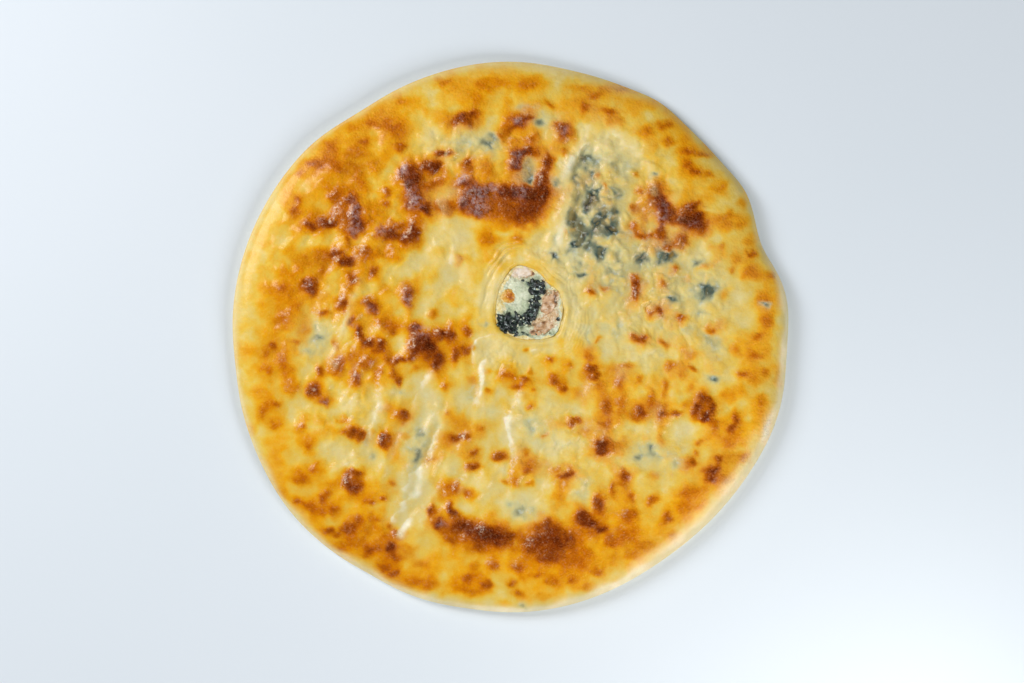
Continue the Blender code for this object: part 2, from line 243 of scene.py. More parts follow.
BURST = (  # blisters that burst: centre, radius and height of the ring that is left
    (-22, 81, 4.0, 1.2), (92, 75, 3.0, 0.8), (116, -45, 3.0, 0.7), (-48, -71, 2.2, 0.6),
    (-61, 26, 2.4, 0.6), (14, 118, 2.6, 0.5), (2, 116, 2.0, 0.4), (143, 49, 2.2, 0.5),
)

COLLARS = (  # wrinkles round the vent: first and last angle, distance from its edge, half-width, height
    (106, 204, 3.8, 3.2, 0.4),
    (100, 208, 7.6, 0.9, -0.4),
    (92, 150, 9.6, 0.7, 0.4),
    (92, 150, 11.4, 0.6, -0.35),
    (90, 146, 13.0, 0.7, 0.4),
    (92, 142, 14.8, 0.6, -0.35),
    (92, 138, 16.4, 0.7, 0.3),
    (28, 92, 1.0, 0.6, -0.4),
    (22, 96, 5.4, 0.7, -0.7),
    (20, 92, 7.2, 0.9, 0.4),
    (300, 380, 4.2, 0.8, 0.2),
    (298, 382, 7.6, 0.7, 0.16),
    (292, 384, 9.6, 0.6, 0.16),
    (294, 380, 11.4, 0.6, 0.18),
    (290, 378, 13.2, 0.6, 0.16),
    (290, 376, 15.2, 0.6, 0.18),
    (290, 370, 17.2, 0.7, 0.14),
    (228, 296, 2.4, 1.0, 0.45),
    (232, 300, 4.6, 0.7, -0.4),
)
COLLAR_WAVER = 1.1  # how far a wrinkle strays from its circle

SKIN_LUMPS = ((16.0, 0.9), (8.0, 0.55), (4.0, 0.2))  # size, share
LUMP_HEIGHT = 1.0
PILLOWS = ((10.5, 2.4), (5.5, 1.3))  # lumps of filling under the thin skin: size, height
PILLOW_DROP = 0.9  # the creases between them lie this much below the skin
LUMPY_AREAS = (  # where they show: centre, half-sizes, share
    (60, 78, 40, 46, 1.0),
    (92, 14, 42, 36, 0.8),
    (-30, 108, 26, 18, 0.8),
    (34, -66, 52, 34, 0.6),
    (-6, -16, 16, 14, 0.5),
    (-92, -48, 26, 22, 0.7),
    (-100, 10, 30, 30, 0.5),
    (-80, 60, 36, 30, 0.5),
)
RIDGES = ((9.0, 1.1), (5.0, 0.5))  # ridges of the skin that hung and slid: width, height
RIDGE_SLANT = math.radians(20)  # from the Y axis
RIDGE_STRETCH = 2.6
RIDGED_AREAS = (  # where they show: centre, half-sizes, share
    (-86, -4, 44, 44, 1.0),
    (-56, -78, 44, 40, 1.0),
    (-92, 62, 40, 36, 0.6),
    (4, -62, 30, 36, 0.7),
    (44, 70, 30, 40, 0.7),
)
BUBBLE_SIZES = ((3.4, 0.35), (2.0, 0.25))
BROWNEST = 0.86  # no blister has gone further
HALO = 4.6  # width of the golden ground round a browned blister
SPOT_RISE = 1.3  # of a browned blister
SKIN_DROP = 1.1  # the skin between the lumps lies this much below the solid's
DEEPEST = 0.9  # of the relief's dips
DEEPEST_SOFTNESS = 0.9
CEILING = 17.45  # nothing of the skin reaches higher
CEILING_SOFTNESS = 1.2
THINNEST = 0.4  # of the roof, under the relief's dips
THINNEST_SOFTNESS = 0.5
EDGE_ROLL = 0.7  # the lip's torn edge is thinner than the solid's
RELIEF_GROWTH = (2.0, 34.0)  # the looks' relief grows over this stretch from the edge

# ---- colours by place

# How far each browned blister has gone: centre, half-sizes and turn in degrees.
BROWNED = {
    0.84: (
        (-53, -3, 5, 5.5), (-48, -5, 4, 6), (-44, -15, 4, 5), (-42, 2, 3, 3), (54, -64, 4, 3.5),
    ),
    0.8: (
        (-28, 80, 3, 5), (3, 103, 4, 5), (-71, 61, 4.5, 4.5),
    ),
    0.74: (
        (-109, 68, 6, 3.5), (-92, 69, 3.5, 5), (-97, 45, 5, 3), (-117, -32, 4, 4.5),
        (-110, -38, 3.5, 3.5), (-85, -3, 4, 3.5), (-89, 3, 2.5, 4), (-61, 24, 4.5, 6.5),
        (-57, 5, 3, 3), (-57, -8, 3, 2.5), (54, -68, 4, 2.5), (48, -19, 4, 3), (116, -37, 4.5, 3),
        (111, -43, 3.5, 4), (119, -43, 3.5, 4), (116, -48, 4, 2.5), (-93, -89, 5, 4),
        (-72, -125, 3.5, 4), (5, 109, 5, 3), (22, 104, 2.3, 5), (-57, 60, 4.5, 5.5),
        (-18, -117, 17, 6, -15), (-34, -103, 2.4, 5, 10), (-42, -113, 4, 3.2, -30),
    ),
    0.7: (
        (6, 86, 17, 5, -3),
    ),
    0.66: (
        (-95, 82, 3, 4), (-88, 66, 2, 3.5), (-38, 110, 5, 1.6), (-94, 34, 3.5, 4.5),
        (-104, 50, 5, 2.5), (-118, 66, 3, 2), (74, 33, 2.6, 5), (73, 25, 2.6, 4),
        (-119, 28, 3.5, 3.5), (-100, 19, 2.5, 4.5), (-81, 17, 3, 4.5), (-93, -25, 3.5, 4),
        (-64, -47, 5, 4), (-66, -14, 4, 2), (-75, -59, 4, 4), (-95, -57, 5, 3), (-76, -5, 3, 2.5),
        (-60, -12, 3, 2), (-94, 9, 2, 4), (-67, -26, 2.5, 3.5), (-113, -20, 2.5, 5),
        (27, -26, 5, 3.5), (50, -23, 4, 2), (-33, -11, 3, 4), (-30, -60, 6, 2.5), (-36, 1, 3, 5),
        (38, -51, 5, 1.8), (-26, -7, 4, 3), (-8, -71, 3.5, 2.5), (90, -46, 4, 3), (134, -49, 3, 4),
        (77, -1, 5, 2.5), (89, 15, 3, 3), (101, 12, 3, 2.4), (121, -79, 5, 3), (78, -45, 3, 3),
        (-91, -81, 5, 3), (-98, -85, 3, 3), (-74, -63, 4, 4), (-88, -60, 4, 3), (-22, -77, 4, 2.5),
        (53, -99, 2.5, 6), (47, -111, 5, 3), (31, -83, 4, 2.5), (69, -83, 3, 3), (53, -115, 4, 2.5),
        (-47, 101, 7, 4), (-58, 97, 5, 7, 20), (-50, 76, 5, 3.5, -20), (-40, 109, 3.5, 2.2),
        (-18, 87, 7, 4), (-20, 74, 5, 3), (8, 72, 9, 6), (5, 127, 5, 4, 30), (33, 121, 4, 6),
        (-28, 130, 5, 4), (-47, -103, 3.4, 3.2), (88, 84, 3.4, 9, 18), (107, 71, 9, 5.5, -10),
    ),
    0.62: (
        (-57, 82, 4, 7, -25), (-60, 91, 3, 5), (-46, 101, 4, 2.5), (-58, 92, 3.5, 3.5),
        (-27, 91, 4, 3), (18, 90, 4.5, 8, 10), (11, 110, 5, 3), (-22, 132, 4, 3), (24, -122, 13, 8),
        (93, 75, 5, 6), (109, 79, 4.5, 2.6, 30), (113, 65, 4, 4.5), (90, 66, 3, 6),
    ),
    0.55: (
        (-92, 62, 3, 3), (-77, 63, 3, 3), (-66, 114, 3, 3), (-82, 38, 4, 3.5), (-92, 76, 2.5, 4),
        (-118, 32, 5, 2.5), (58, 134, 5, 2.5), (143, 49, 3, 3), (111, 98, 3, 3),
        (-103, -15, 3.5, 3), (-111, 14, 3, 2), (-84, 20, 3, 3), (31, -31, 2, 2.5), (4, -29, 4, 1.6),
        (10, -25, 3, 2), (-26, 3, 3, 4), (24, -14, 2.5, 1.6), (-22, -70, 2, 3), (119, 4, 3.5, 3),
        (108, -19, 2.6, 2), (107, -75, 3, 3), (124, -73, 2.5, 3), (119, -83, 4, 3),
        (132, -54, 3, 2), (98, -46, 3, 2), (153, -54, 1.8, 4.5), (-83, -127, 5, 3.5),
        (-97, -114, 5, 3), (-69, -141, 3.5, 3), (-84, -98, 3, 2), (-75, -95, 2.5, 2),
        (-68, -131, 3, 3), (-108, -115, 3, 2), (35, -81, 2.5, 2), (2, -147, 3, 3),
        (-14, -148, 3.5, 3), (61, -91, 2, 4), (44, -106, 4, 2), (84, -97, 3, 3), (93, -108, 4, 3),
        (47, 27, 3, 2), (-64, 98, 3, 4), (-52, 76, 3, 2.5), (-25, 105, 2, 2), (-22, 81, 6, 6),
        (10, 131, 4, 2, 15), (-24, 126, 3, 3), (-64, 59, 5, 3), (-19, -125, 7, 3),
        (46, -110, 9, 3.4, -35), (102, 57, 5, 4),
    ),
    0.5: (
        (-38, 77, 7, 3.5, -10), (-25, 102, 4, 4), (-8, 76, 8, 6), (-2, 84, 6, 3), (12, 84, 5, 3),
        (20, 96, 3, 4), (29, 125, 3, 3), (-57, 65, 2, 4), (-36, -121, 4, 3), (-30, -112, 6, 4),
        (-12, -118, 9, 4, -10), (21, -113, 6, 4), (21, -132, 7, 3), (94, 53, 4, 3), (105, 68, 5, 3),
    ),
    0.42: (
        (-86, 117, 4, 3), (-71, 124, 4, 3), (-117, 103, 6, 3), (-127, 82, 3, 3), (-128, 75, 3, 3),
        (-73, 78, 3, 2.5), (-86, 51, 3, 3), (-31, 46, 3, 3), (-97, 57, 2, 3), (-105, 85, 3, 5),
        (-83, 127, 5, 2.5), (-113, 39, 3, 3), (-74, 86, 2, 3), (44, 137, 4, 3), (50, 144, 5, 2.5),
        (65, 148, 3, 2), (51, 96, 2, 2), (24, 139, 3, 1.8), (-14, 58, 5, 4.5), (32, 110, 4, 2.5),
        (32, 62, 2, 1.6), (57, 88, 1.8, 2.6), (95, 116, 4, 2.4), (91, 126, 5, 3), (107, 110, 5, 2),
        (116, 109, 4, 2), (131, 39, 2.5, 2), (156, 37, 3, 2), (91, 31, 2.5, 2.5),
        (99, 40, 2.5, 1.5), (76, 87, 2.4, 2.6), (75, 96, 2.2, 2), (77, 60, 4, 2), (74, 77, 2.6, 3),
        (74, 66, 3, 2.5), (105, 102, 4, 3), (118, 97, 3, 3), (-80, -8, 3, 1.6), (-77, 6, 4, 3),
        (-69, 4, 3, 3), (-140, -52, 3, 4), (-123, -54, 2.5, 2.5), (-120, -64, 3, 3),
        (-139, -40, 3, 2.5), (-147, -45, 3, 4), (-141, -5, 3, 2.5), (-127, -4, 3, 2),
        (-79, -22, 4, 5), (-70, -20, 3, 4), (-86, -16, 4, 4), (-104, -4, 2, 3), (-103, -20, 4, 3),
        (-100, -49, 4, 2), (-46, 14, 4, 2), (-1, -23, 4, 3), (11, -42, 2, 2), (15, -32, 2, 1.6),
        (46, -11, 3, 4), (34, -17, 2, 2), (-13, -31, 2, 1.5), (10, -7, 2, 1.5), (57, -41, 4, 5),
        (55, -52, 3, 3), (52, -1, 2, 1.5), (20, -58, 2, 1.5), (-38, -30, 2, 3), (-37, -45, 2, 2),
        (8, -68, 2, 2), (12, -20, 2, 2), (66, -26, 3, 5), (-17, -55, 3, 2), (152, -21, 3, 3),
        (146, 1, 3, 2), (145, -11, 5, 3), (137, -22, 2.5, 2), (91, -4, 3, 2), (83, 15, 3, 2),
        (92, -30, 2, 5), (84, -37, 3, 5), (76, -25, 2.5, 3), (122, -53, 3, 4), (73, -47, 4, 3),
        (113, -63, 3, 2), (69, -17, 4, 2), (140, -72, 4, 3), (110, -69, 2, 2), (95, -17, 4, 3),
        (-26, -143, 5, 3), (-109, -92, 3, 3), (-127, -98, 3, 3), (-112, -96, 3, 3),
        (-81, -108, 4, 3), (-71, -112, 3, 3), (-120, -101, 4, 3), (-90, -109, 3, 2),
        (-105, -103, 4, 3), (-66, -118, 4, 2.5), (-34, -89, 4, 3), (-24, -94, 4, 3),
        (-70, -87, 2, 2), (-47, -72, 3, 1.5), (-104, -118, 3, 2), (-125, -84, 4, 4),
        (-76, -137, 4, 3), (5, -154, 4, 2.5), (-10, -137, 3, 2.5), (4, -137, 3, 2.5),
        (71, -95, 3, 4), (36, -144, 3, 2.5), (15, -142, 3, 2), (52, -140, 4, 2.5), (72, -106, 4, 4),
        (12, -88, 3, 2), (26, -78, 3, 1.8), (60, -122, 5, 3), (-4, -86, 2, 1.5), (25, -146, 4, 3),
        (10, -80, 3, 3), (2, -85, 3, 3), (66, -88, 3, 3), (56, 30, 3, 2), (-45, 91, 6, 3, 10),
        (10, 79, 9, 5), (16, 76, 3, 3), (20, 84, 3, 5), (-2, 124, 3, 3), (12, 118, 5, 4),
        (-4, 119, 3, 4), (-33, 128, 4, 3), (0, -118, 5, 4), (34, -122, 6, 6),
        (12, -124, 5, 5), (41, -109, 3, 4), (86, 60, 6, 3), (112, 72, 3.5, 3), (92, 76, 3, 4),
        (83, 86, 2.6, 5, 10), (99, 69, 3, 3),
    ),
    0.3: (
        (-108, 115, 3, 2.5), (-126, 97, 3, 3), (-80, 104, 6, 5), (-100, 101, 8, 6), (-90, 95, 5, 8),
        (-66, 122, 5, 4), (-100, 75, 5, 8), (-82, 75, 6, 6), (-75, 50, 8, 4), (-112, 46, 6, 5),
        (-124, 45, 5, 5), (-92, 110, 6, 4), (5, 57, 4, 3), (2, 116, 2.5, 2), (56, 149, 5, 2),
        (40, 148, 6, 3), (38, 64, 2, 1.6), (-12, 150, 8, 3), (10, 150, 8, 3), (-18, 140, 4, 3),
        (139, 79, 3, 3), (128, 68, 5, 4), (137, 67, 3, 2.5), (132, 73, 4, 2), (127, 24, 3, 3),
        (143, 57, 4, 3), (134, 46, 4, 4), (144, 38, 5, 4), (115, 42, 3, 2), (105, 34, 3, 3),
        (125, 88, 6, 4), (126, 54, 2, 2), (80, 122, 6, 3), (62, 128, 6, 3), (151, 24, 4, 4),
        (-144, -20, 3, 3), (-135, -12, 4, 6), (-146, -10, 4, 4), (-96, -12, 3, 4), (-72, -12, 4, 4),
        (-130, -30, 5, 5), (-133, -20, 4, 4), (-122, 5, 4, 4), (-137, 10, 5, 6), (-128, 16, 5, 5),
        (-135, 30, 6, 5), (-75, 28, 5, 3), (-72, 10, 4, 4), (-57, -20, 3, 2), (-72, -43, 3, 4),
        (-62, -58, 5, 3), (-23, -27, 4, 3), (66, -45, 4, 4), (44, -57, 5, 3), (-30, -50, 6, 5),
        (52, -30, 4, 4), (60, -20, 4, 4), (62, -66, 4, 4), (12, -75, 6, 4), (-14, -20, 3, 2),
        (40, -33, 4, 4), (160, -24, 3, 5), (145, -25, 5, 4), (153, 10, 4, 5), (90, -60, 2, 5),
        (66, -38, 4, 4), (130, -62, 5, 4), (104, -40, 4, 3), (107, -31, 3, 2), (68, -63, 5, 4),
        (107, -11, 4, 3), (102, -22, 3, 3), (130, -34, 4, 4), (85, -82, 4, 4), (128, -85, 4, 3),
        (150, -38, 4, 4), (135, -8, 4, 4), (-114, -105, 4, 4), (-60, -126, 5, 3), (-55, -135, 5, 4),
        (-40, -92, 5, 5), (-60, -147, 6, 3), (-30, -150, 6, 3), (-103, -125, 5, 3),
        (-92, -122, 5, 4), (-116, -78, 4, 4), (70, -118, 5, 4), (40, -135, 6, 4), (60, -132, 6, 4),
        (72, -130, 4, 3), (-22, -152, 5, 2.5), (20, -155, 6, 2.5), (30, -95, 5, 5),
        (-20, -136, 4, 3), (45, -150, 5, 3), (46, -128, 4, 4), (80, -125, 8, 5), (108, -92, 7, 5),
        (96, -118, 5, 3), (104, -102, 5, 4), (132, -72, 5, 6), (-48, -147, 5, 3), (-84, -115, 5, 4),
        (120, 118, 4, 4), (-40, 152, 6, 2.5), (-62, 140, 6, 3), (-94, 124, 4, 2), (-12, 100, 4, 5),
        (-66, 66, 5, 2), (24, -118, 7, 4), (76, 62, 5, 3), (80, 73, 4, 6),
    ),
}

# Where the top has toasted evenly, gently: centre, half-sizes, how much.
TOASTED = (
    (-146, -10, 16, 46, 0.18), (-128, -84, 26, 24, 0.14), (-92, -122, 26, 18, 0.14),
    (-108, 110, 22, 22, 0.18), (-40, -140, 40, 14, 0.1), (30, -142, 40, 12, 0.1),
    (84, -120, 28, 16, 0.13),
    (118, -86, 20, 22, 0.12), (144, -34, 12, 26, 0.08), (146, 22, 12, 26, 0.06),
    (60, 142, 34, 12, 0.13), (104, 118, 20, 16, 0.06), (-10, 146, 34, 10, 0.1),
    (-72, 128, 30, 14, 0.14), (-124, 76, 20, 26, 0.14), (-90, 58, 34, 34, 0.12),
    (-90, 4, 26, 24, 0.1), (-40, 84, 26, 22, 0.14), (4, 84, 24, 20, 0.16), (96, 72, 22, 24, 0.14),
    (-48, -6, 20, 18, 0.12), (-16, -116, 34, 14, 0.14), (26, -122, 22, 14, 0.14),
    (-96, -88, 14, 12, 0.12), (62, -104, 22, 14, 0.12), (-34, -60, 12, 9, 0.1),
    (60, -44, 26, 12, 0.08), (-4, 130, 30, 10, 0.1), (82, 18, 26, 14, 0.08),
    (-130, 30, 18, 30, 0.08), (36, -82, 24, 10, 0.06),
)

GROUND_TOAST = 0.14  # of the whole top
HALO_TOAST = 0.14  # more on the golden ground round a browned blister
CAVITY_TOAST = 0.2  # of the dough inside the cavity

# Where the dough stayed pale: centre, half-sizes, how much.
PALE = (
    (-48, 120, 8, 7, 0.8), (-46, 112, 5, 4, 0.7), (-33, 111, 5, 6, 0.7), (-36, 102, 3, 4, 0.5),
    (-32, 70, 12, 4, 0.6), (-42, 63, 6, 8, 0.6), (-50, 45, 9, 7, 0.6), (-90, 58, 4, 3, 0.6),
    (-121, 57, 6, 5, 0.5), (-104, 62, 3, 2, 0.5), (-30, 60, 7, 5, 0.7), (-36, 44, 4, 8, 0.7),
    (-60, 37, 3, 4, 0.6), (-110, 58, 5, 3, 0.4), (-60, 48, 4, 3, 0.4), (-70, 41, 8, 4, 0.4),
    (-85, 55, 4, 3, 0.4), (-24, 124, 5, 4, 0.5), (-26, 118, 4, 5, 0.5), (32, 97, 3, 4, 0.6),
    (33, 77, 3, 5, 0.5),
    (36, 104, 5, 8, 0.7), (28, 104, 4, 6, 0.6), (60, 120, 16, 10, 0.7), (45, 124, 5, 5, 0.5),
    (62, 108, 10, 6, 0.5), (28, 58, 4, 8, 0.8), (24, 70, 5, 8, 0.5), (38, 52, 4, 9, 0.8),
    (-22, 68, 8, 4, 0.5), (-2, 62, 6, 2, 0.5), (-20, 120, 5, 6, 0.5), (-10, 128, 6, 6, 0.4),
    (8, 64, 8, 1.5, 0.5), (20, 130, 5, 8, 0.5), (50, 110, 6, 6, 0.4), (-8, 108, 5, 5, 0.4),
    (14, 60, 5, 4, 0.3), (97, 82, 5, 5, 0.7), (96, 92, 4, 6, 0.6), (83, 98, 4, 8, 0.6),
    (97, 63, 3, 2.5, 0.6), (118, 75, 4, 1.5, 0.6), (84, 66, 3, 5, 0.5), (81, 86, 3, 6, 0.5),
    (112, 55, 6, 4, 0.6), (104, 46, 6, 4, 0.5), (86, 44, 8, 6, 0.4), (118, 48, 4, 4, 0.4),
    (122, 60, 4, 4, 0.3), (96, 104, 5, 5, 0.5), (84, 24, 6, 8, 0.4), (98, 24, 6, 6, 0.4),
    (122, 32, 4, 6, 0.4), (137, 22, 4, 4, 0.3), (70, 43, 5, 5, 0.4), (110, 28, 5, 6, 0.5),
    (-79, 4, 4, 3, 0.7), (-65, -4, 5, 7, 0.8), (-65, 14, 3, 3, 0.5), (-50, 15, 6, 6, 0.7),
    (-82, 28, 9, 4, 0.5), (-95, -40, 10, 8, 0.7), (-72, -33, 6, 3, 0.5), (-81, -48, 3, 9, 0.9),
    (-119, -54, 5, 4, 0.6), (-101, -68, 5, 3, 0.6), (-107, 0, 2, 12, 0.5), (-99, 5, 4, 14, 0.6),
    (-113, 2, 4, 9, 0.6), (-112, -14, 3, 4, 0.6), (-53, -27, 3, 6, 0.8), (-46, -33, 4, 5, 0.6),
    (-44, -50, 3, 6, 0.9), (-50, -42, 4, 8, 0.6), (-92, 24, 3, 8, 0.4), (-106, 18, 2, 3, 0.5),
    (-57, -58, 4, 6, 0.5), (-9, -4, 8, 6, 0.5), (-20, -7, 2, 6, 0.9), (-14, -12, 6, 4, 0.5),
    (-17, -27, 2.5, 11, 0.9), (-28, -22, 6, 6, 0.4), (4, -38, 2, 3, 0.8), (6, -42, 3, 4, 0.6),
    (0, -52, 3, 8, 0.8), (-1, -62, 4, 6, 0.8), (14, -52, 6, 5, 0.6), (30, -62, 8, 5, 0.6),
    (40, -44, 6, 3, 0.4), (47, -45, 3, 4, 0.6), (21, -9, 5, 2, 0.5), (15, -8, 3, 2, 0.9),
    (56, -2, 6, 6, 0.5), (-31, -42, 2, 6, 0.6), (-10, -45, 4, 3, 0.4), (20, -67, 6, 3, 0.4),
    (62, -42, 3, 2, 0.5), (36, -7, 4, 6, 0.4), (74, -12, 7, 4, 0.6), (112, -16, 6, 4, 0.3),
    (78, -33, 5, 3, 0.5), (98, -35, 4, 4, 0.6), (107, -54, 9, 3.5, 0.8), (80, -55, 8, 5, 0.6),
    (85, -68, 5, 4, 0.6), (104, 3, 4, 4, 0.4), (115, 14, 6, 4, 0.4), (98, -68, 6, 4, 0.3),
    (82, 5, 5, 5, 0.3), (66, 5, 6, 8, 0.6), (76, 14, 3, 8, 0.5), (118, -28, 8, 4, 0.4),
    (83, -84, 6, 3, 0.4), (-97, -76, 7, 4, 0.9), (-106, -80, 3, 4, 0.7), (-55, -80, 3, 7, 0.95),
    (-64, -103, 3, 6, 0.95), (-62, -112, 3, 5, 0.8), (-56, -96, 6, 10, 0.6), (-52, -108, 3, 6, 0.6),
    (-27, -101, 5, 4, 0.8), (-78, -80, 8, 6, 0.4), (-72, -100, 4, 6, 0.5), (-36, -78, 6, 5, 0.5),
    (-25, -86, 5, 4, 0.5), (-60, -70, 4, 6, 0.5), (-103, -70, 8, 2, 0.5), (-115, -66, 3, 3, 0.4),
    (-52, -88, 5, 6, 0.7), (-45, -120, 4, 3, 0.3), (-60, -121, 5, 3, 0.3), (-3, -80, 3, 5, 0.8),
    (10, -100, 9, 5, 0.6), (6, -108, 8, 3, 0.6), (20, -88, 7, 4, 0.6), (43, -92, 5, 8, 0.5),
    (24, -70, 6, 4, 0.4), (44, -78, 5, 5, 0.4), (-20, -90, 5, 5, 0.4), (3, -123, 3, 2, 0.6),
    (66, -74, 4, 5, 0.3), (35, -99, 4, 6, 0.4), (-28, 30, 10, 10, 0.4), (28, 40, 12, 8, 0.5),
    (40, 22, 8, 16, 0.4), (-13, 24, 6, 12, 0.4), (-15, -4, 8, 8, 0.4), (12, 49, 14, 6, 0.3),
    (34, 4, 8, 8, 0.3),
)

PALE_SHARE = 0.85  # of the toast is missing there

# Leaf and cheese that shine through the thin dough: centre, half-sizes, how much.
LEAFY_AREAS = (  # many torn leaves together
    (52, 74, 12, 24, 0.34), (76, 50, 22, 14, 0.14), (114, 26, 14, 12, 0.16), (-26, 114, 18, 10, 0.2),
    (84, -72, 20, 8, 0.2), (16, -56, 16, 9, 0.14), (6, -104, 12, 6, 0.2), (-88, -58, 10, 12, 0.2),
    (-116, 2, 8, 8, 0.2), (100, 2, 20, 12, 0.12), (-56, -66, 8, 12, 0.2), (62, 108, 16, 6, 0.2),
)
GREENS = (  # single leaves, and the tint round them
    (50, 74, 24, 38, 0.16), (40, 48, 14, 12, 0.14), (92, 12, 30, 26, 0.08),
    (52, 78, 14, 34, 0.16), (84, 46, 34, 22, 0.16), (98, 12, 36, 34, 0.06), (-30, 114, 20, 10, 0.08),
    (20, -60, 40, 18, 0.06), (70, -72, 40, 14, 0.08), (-118, 0, 10, 12, 0.08),
    (8, -104, 12, 6, 0.15), (-56, -90, 8, 24, 0.18), (-54, -56, 6, 12, 0.2), (-36, 86, 10, 4, 0.12),
    (47, 107, 3.4, 4.4, 0.6), (44, 98, 3, 5, 0.35), (28.5, 94, 3, 3.6, 0.7), (31, 88, 3, 4, 0.3),
    (48, 81, 3.4, 6.5, 0.8), (52, 88, 3, 3, 0.35), (36, 71, 2.6, 4.6, 0.6), (42, 60, 4, 4.6, 0.7),
    (38, 57, 2, 3, 0.6), (46, 55, 2.4, 2.4, 0.5), (57, 65, 4.6, 4.6, 0.97), (56, 76, 2.6, 6, 0.9),
    (62, 72, 3, 4, 0.4), (50, 68, 4, 5, 0.4), (54, 51, 3, 2.6, 0.6), (64, 85, 3, 4, 0.4),
    (66, 102, 7, 5, 0.2), (62, 34, 6, 8, 0.24), (60, 5, 12, 5, 0.2), (86, 97.5, 1.6, 1.6, 0.6),
    (94, 49, 3.4, 3.4, 0.85), (90, 46, 6, 4, 0.25), (78, 46, 4.6, 3.4, 0.45),
    (111, 44.5, 2.6, 1.8, 0.65),
    (117, 29, 3.2, 3.4, 0.7), (119, 31, 7, 6, 0.35), (114, 24, 3, 2.6, 0.4), (97, 21, 4, 5, 0.35),
    (42, 37.5, 4, 1.6, 0.5), (26, 47, 3, 2, 0.55), (12, 98, 5, 5.4, 0.5), (9, 103, 3, 3, 0.3),
    (11, 93, 4, 2, 0.45), (-12, 115, 4.6, 4.4, 0.6), (-9, 118, 2.4, 2.4, 0.3), (-28, 116, 7, 6, 0.24),
    (17, 128, 4, 3, 0.5), (23, 131, 5, 3, 0.3), (22, 122, 4, 4, 0.3), (10, 137, 6, 2, 0.3),
    (-113, 5, 4, 3, 0.4), (-118, -9, 4, 2.5, 0.4), (-112, -2, 5, 4, 0.3), (-15, 7, 3, 2, 0.45),
    (-23, -34, 5, 6, 0.24), (-9, -44, 4, 3, 0.3), (13, -52, 5, 4, 0.26), (25, -60, 2, 4, 0.3),
    (83, -68, 9, 5, 0.25), (75, -72, 2.6, 1.5, 0.42), (80, -70, 3, 1.5, 0.5), (85, -66, 2.6, 1.6, 0.45),
    (88, -79, 3, 2, 0.35), (97, -76, 5, 4, 0.3), (122, -24, 3.4, 2, 0.38), (118, -26, 4, 3, 0.22),
    (121, -12, 5, 8, 0.2), (124, 0, 3, 8, 0.2), (117, -2, 3, 4, 0.25), (113, 14, 3, 2.5, 0.35),
    (151, 18.5, 2, 1.6, 0.7), (46, 2, 3, 6, 0.3), (42, -91, 4, 7, 0.32), (10, -103, 6, 4, 0.22),
    (-1, -99, 2.5, 2.5, 0.35), (12, -107, 3, 2, 0.2), (8, -160, 3, 2, 0.4), (-84, -70, 3, 2.4, 0.4),
    (-85, -61, 2.6, 3.6, 0.45), (-57, -66, 5, 8, 0.22), (-65, -33, 3, 3, 0.3), (-42, -55, 2, 3, 0.2),
)
GREEN_GROWTH = 1.2  # light spreads in the dough over a leaf

# Painted greyish reflections on the glossy skin of dark blisters, stronger where it faces the key light:
# centre, half-sizes, how much.
PAINTED_REFLECTIONS = (
    (-20, 80, 5, 7, 0.95), (-14, 87, 6, 3, 0.6), (-60, 88, 2.4, 4, 0.8), (-56, 81, 3.4, 3.4, 0.8),
    (-63, 102, 2, 4.4, 0.7), (4, 109, 3, 2, 0.5), (33, 122, 2, 4, 0.5), (6, 128, 3, 2, 0.5),
    (-92, 75, 2.5, 5, 0.7), (-92, 65, 2.5, 4, 0.6), (-77, 64, 3, 3, 0.5),
    (-29, 95, 4, 3, 0.8), (6, 86, 3, 4, 0.5), (-52, 4, 4, 2.6, 0.8), (-62, 24, 2.8, 5.5, 0.8),
    (-91, 48, 2, 3, 0.5), (-92, -21, 3, 3, 0.5), (-110, -38, 2.5, 2.5, 0.5),
    (-83, 16, 2.5, 2.5, 0.5), (-104, -12, 3, 3, 0.4), (-92, 6, 2, 2.5, 0.4), (4, 104, 2, 3, 0.4),
    (91, 73, 4, 7, 0.4), (108, 68, 4, 1.2, 0.4), (-41, -112, 2.5, 2, 0.5), (-106, 18, 2, 2, 0.4),
)

# The pale rim is widest where the dough faced away from the heat: angle, spread, extra width.
RIM_PALENESS = 4.2
RIM_WIDENINGS = (
    (312, 26, 2.8), (338, 16, 1.0), (200, 30, -0.8), (24, 14, -1.2), (262, 12, 0.4), (135, 26, -2.0),
    (84, 16, 1.2),
)

RIM_STRENGTH = 0.68  # how whitish the rim is, of 1
RIM_STRENGTHS = (  # angle, spread, how much paler
    (295, 50, 0.35), (355, 28, 0.35), (45, 28, -0.4), (130, 40, -0.2),
)

DOUGH_TONES = (  # from raw to burnt
    (0.0, "f0e0a8"), (0.12, "eed27c"), (0.22, "eec246"), (0.33, "eea814"), (0.45, "e08c02"),
    (0.57, "c86c00"), (0.68, "a65002"), (0.78, "823302"), (0.88, "5c1c01"), (1.0, "340e02"),
)
PAINTED_SHADE_TONES = (  # painted shade: the dough's colour in the dips of its relief and on slopes turned from the key light
    (0.0, "b2aa7a"), (0.25, "c2a556"), (0.4, "c48e22"), (0.6, "904e02"), (0.8, "602802"),
    (1.0, "2a0c02"),
)
PAINTED_LIGHT_TONES = (  # painted light: its colour on the highest parts and on slopes that face the key light
    (0.0, "f8ecc8"), (0.25, "f6d684"), (0.4, "f2b840"), (0.55, "d88c20"), (0.8, "9c5418"),
    (1.0, "6c3810"),
)
# The tone of the painted greyish reflections on the dark blisters.
REFLECTION_TONE = "dccaca"
GLINT_TONE = "fcd8b4"  # of the smallest blisters' tips
LEAF_GLINT_TONE = "ccdcd6"  # painted bluish-white glints on the leaves under the skin
SHEEN_TONE = "fae6cc"  # painted sheen on the slopes that face the key light
RAW_TONES = ((0.0, "e8c46c"), (0.5, "f0d690"), (1.0, "fff4d2"))
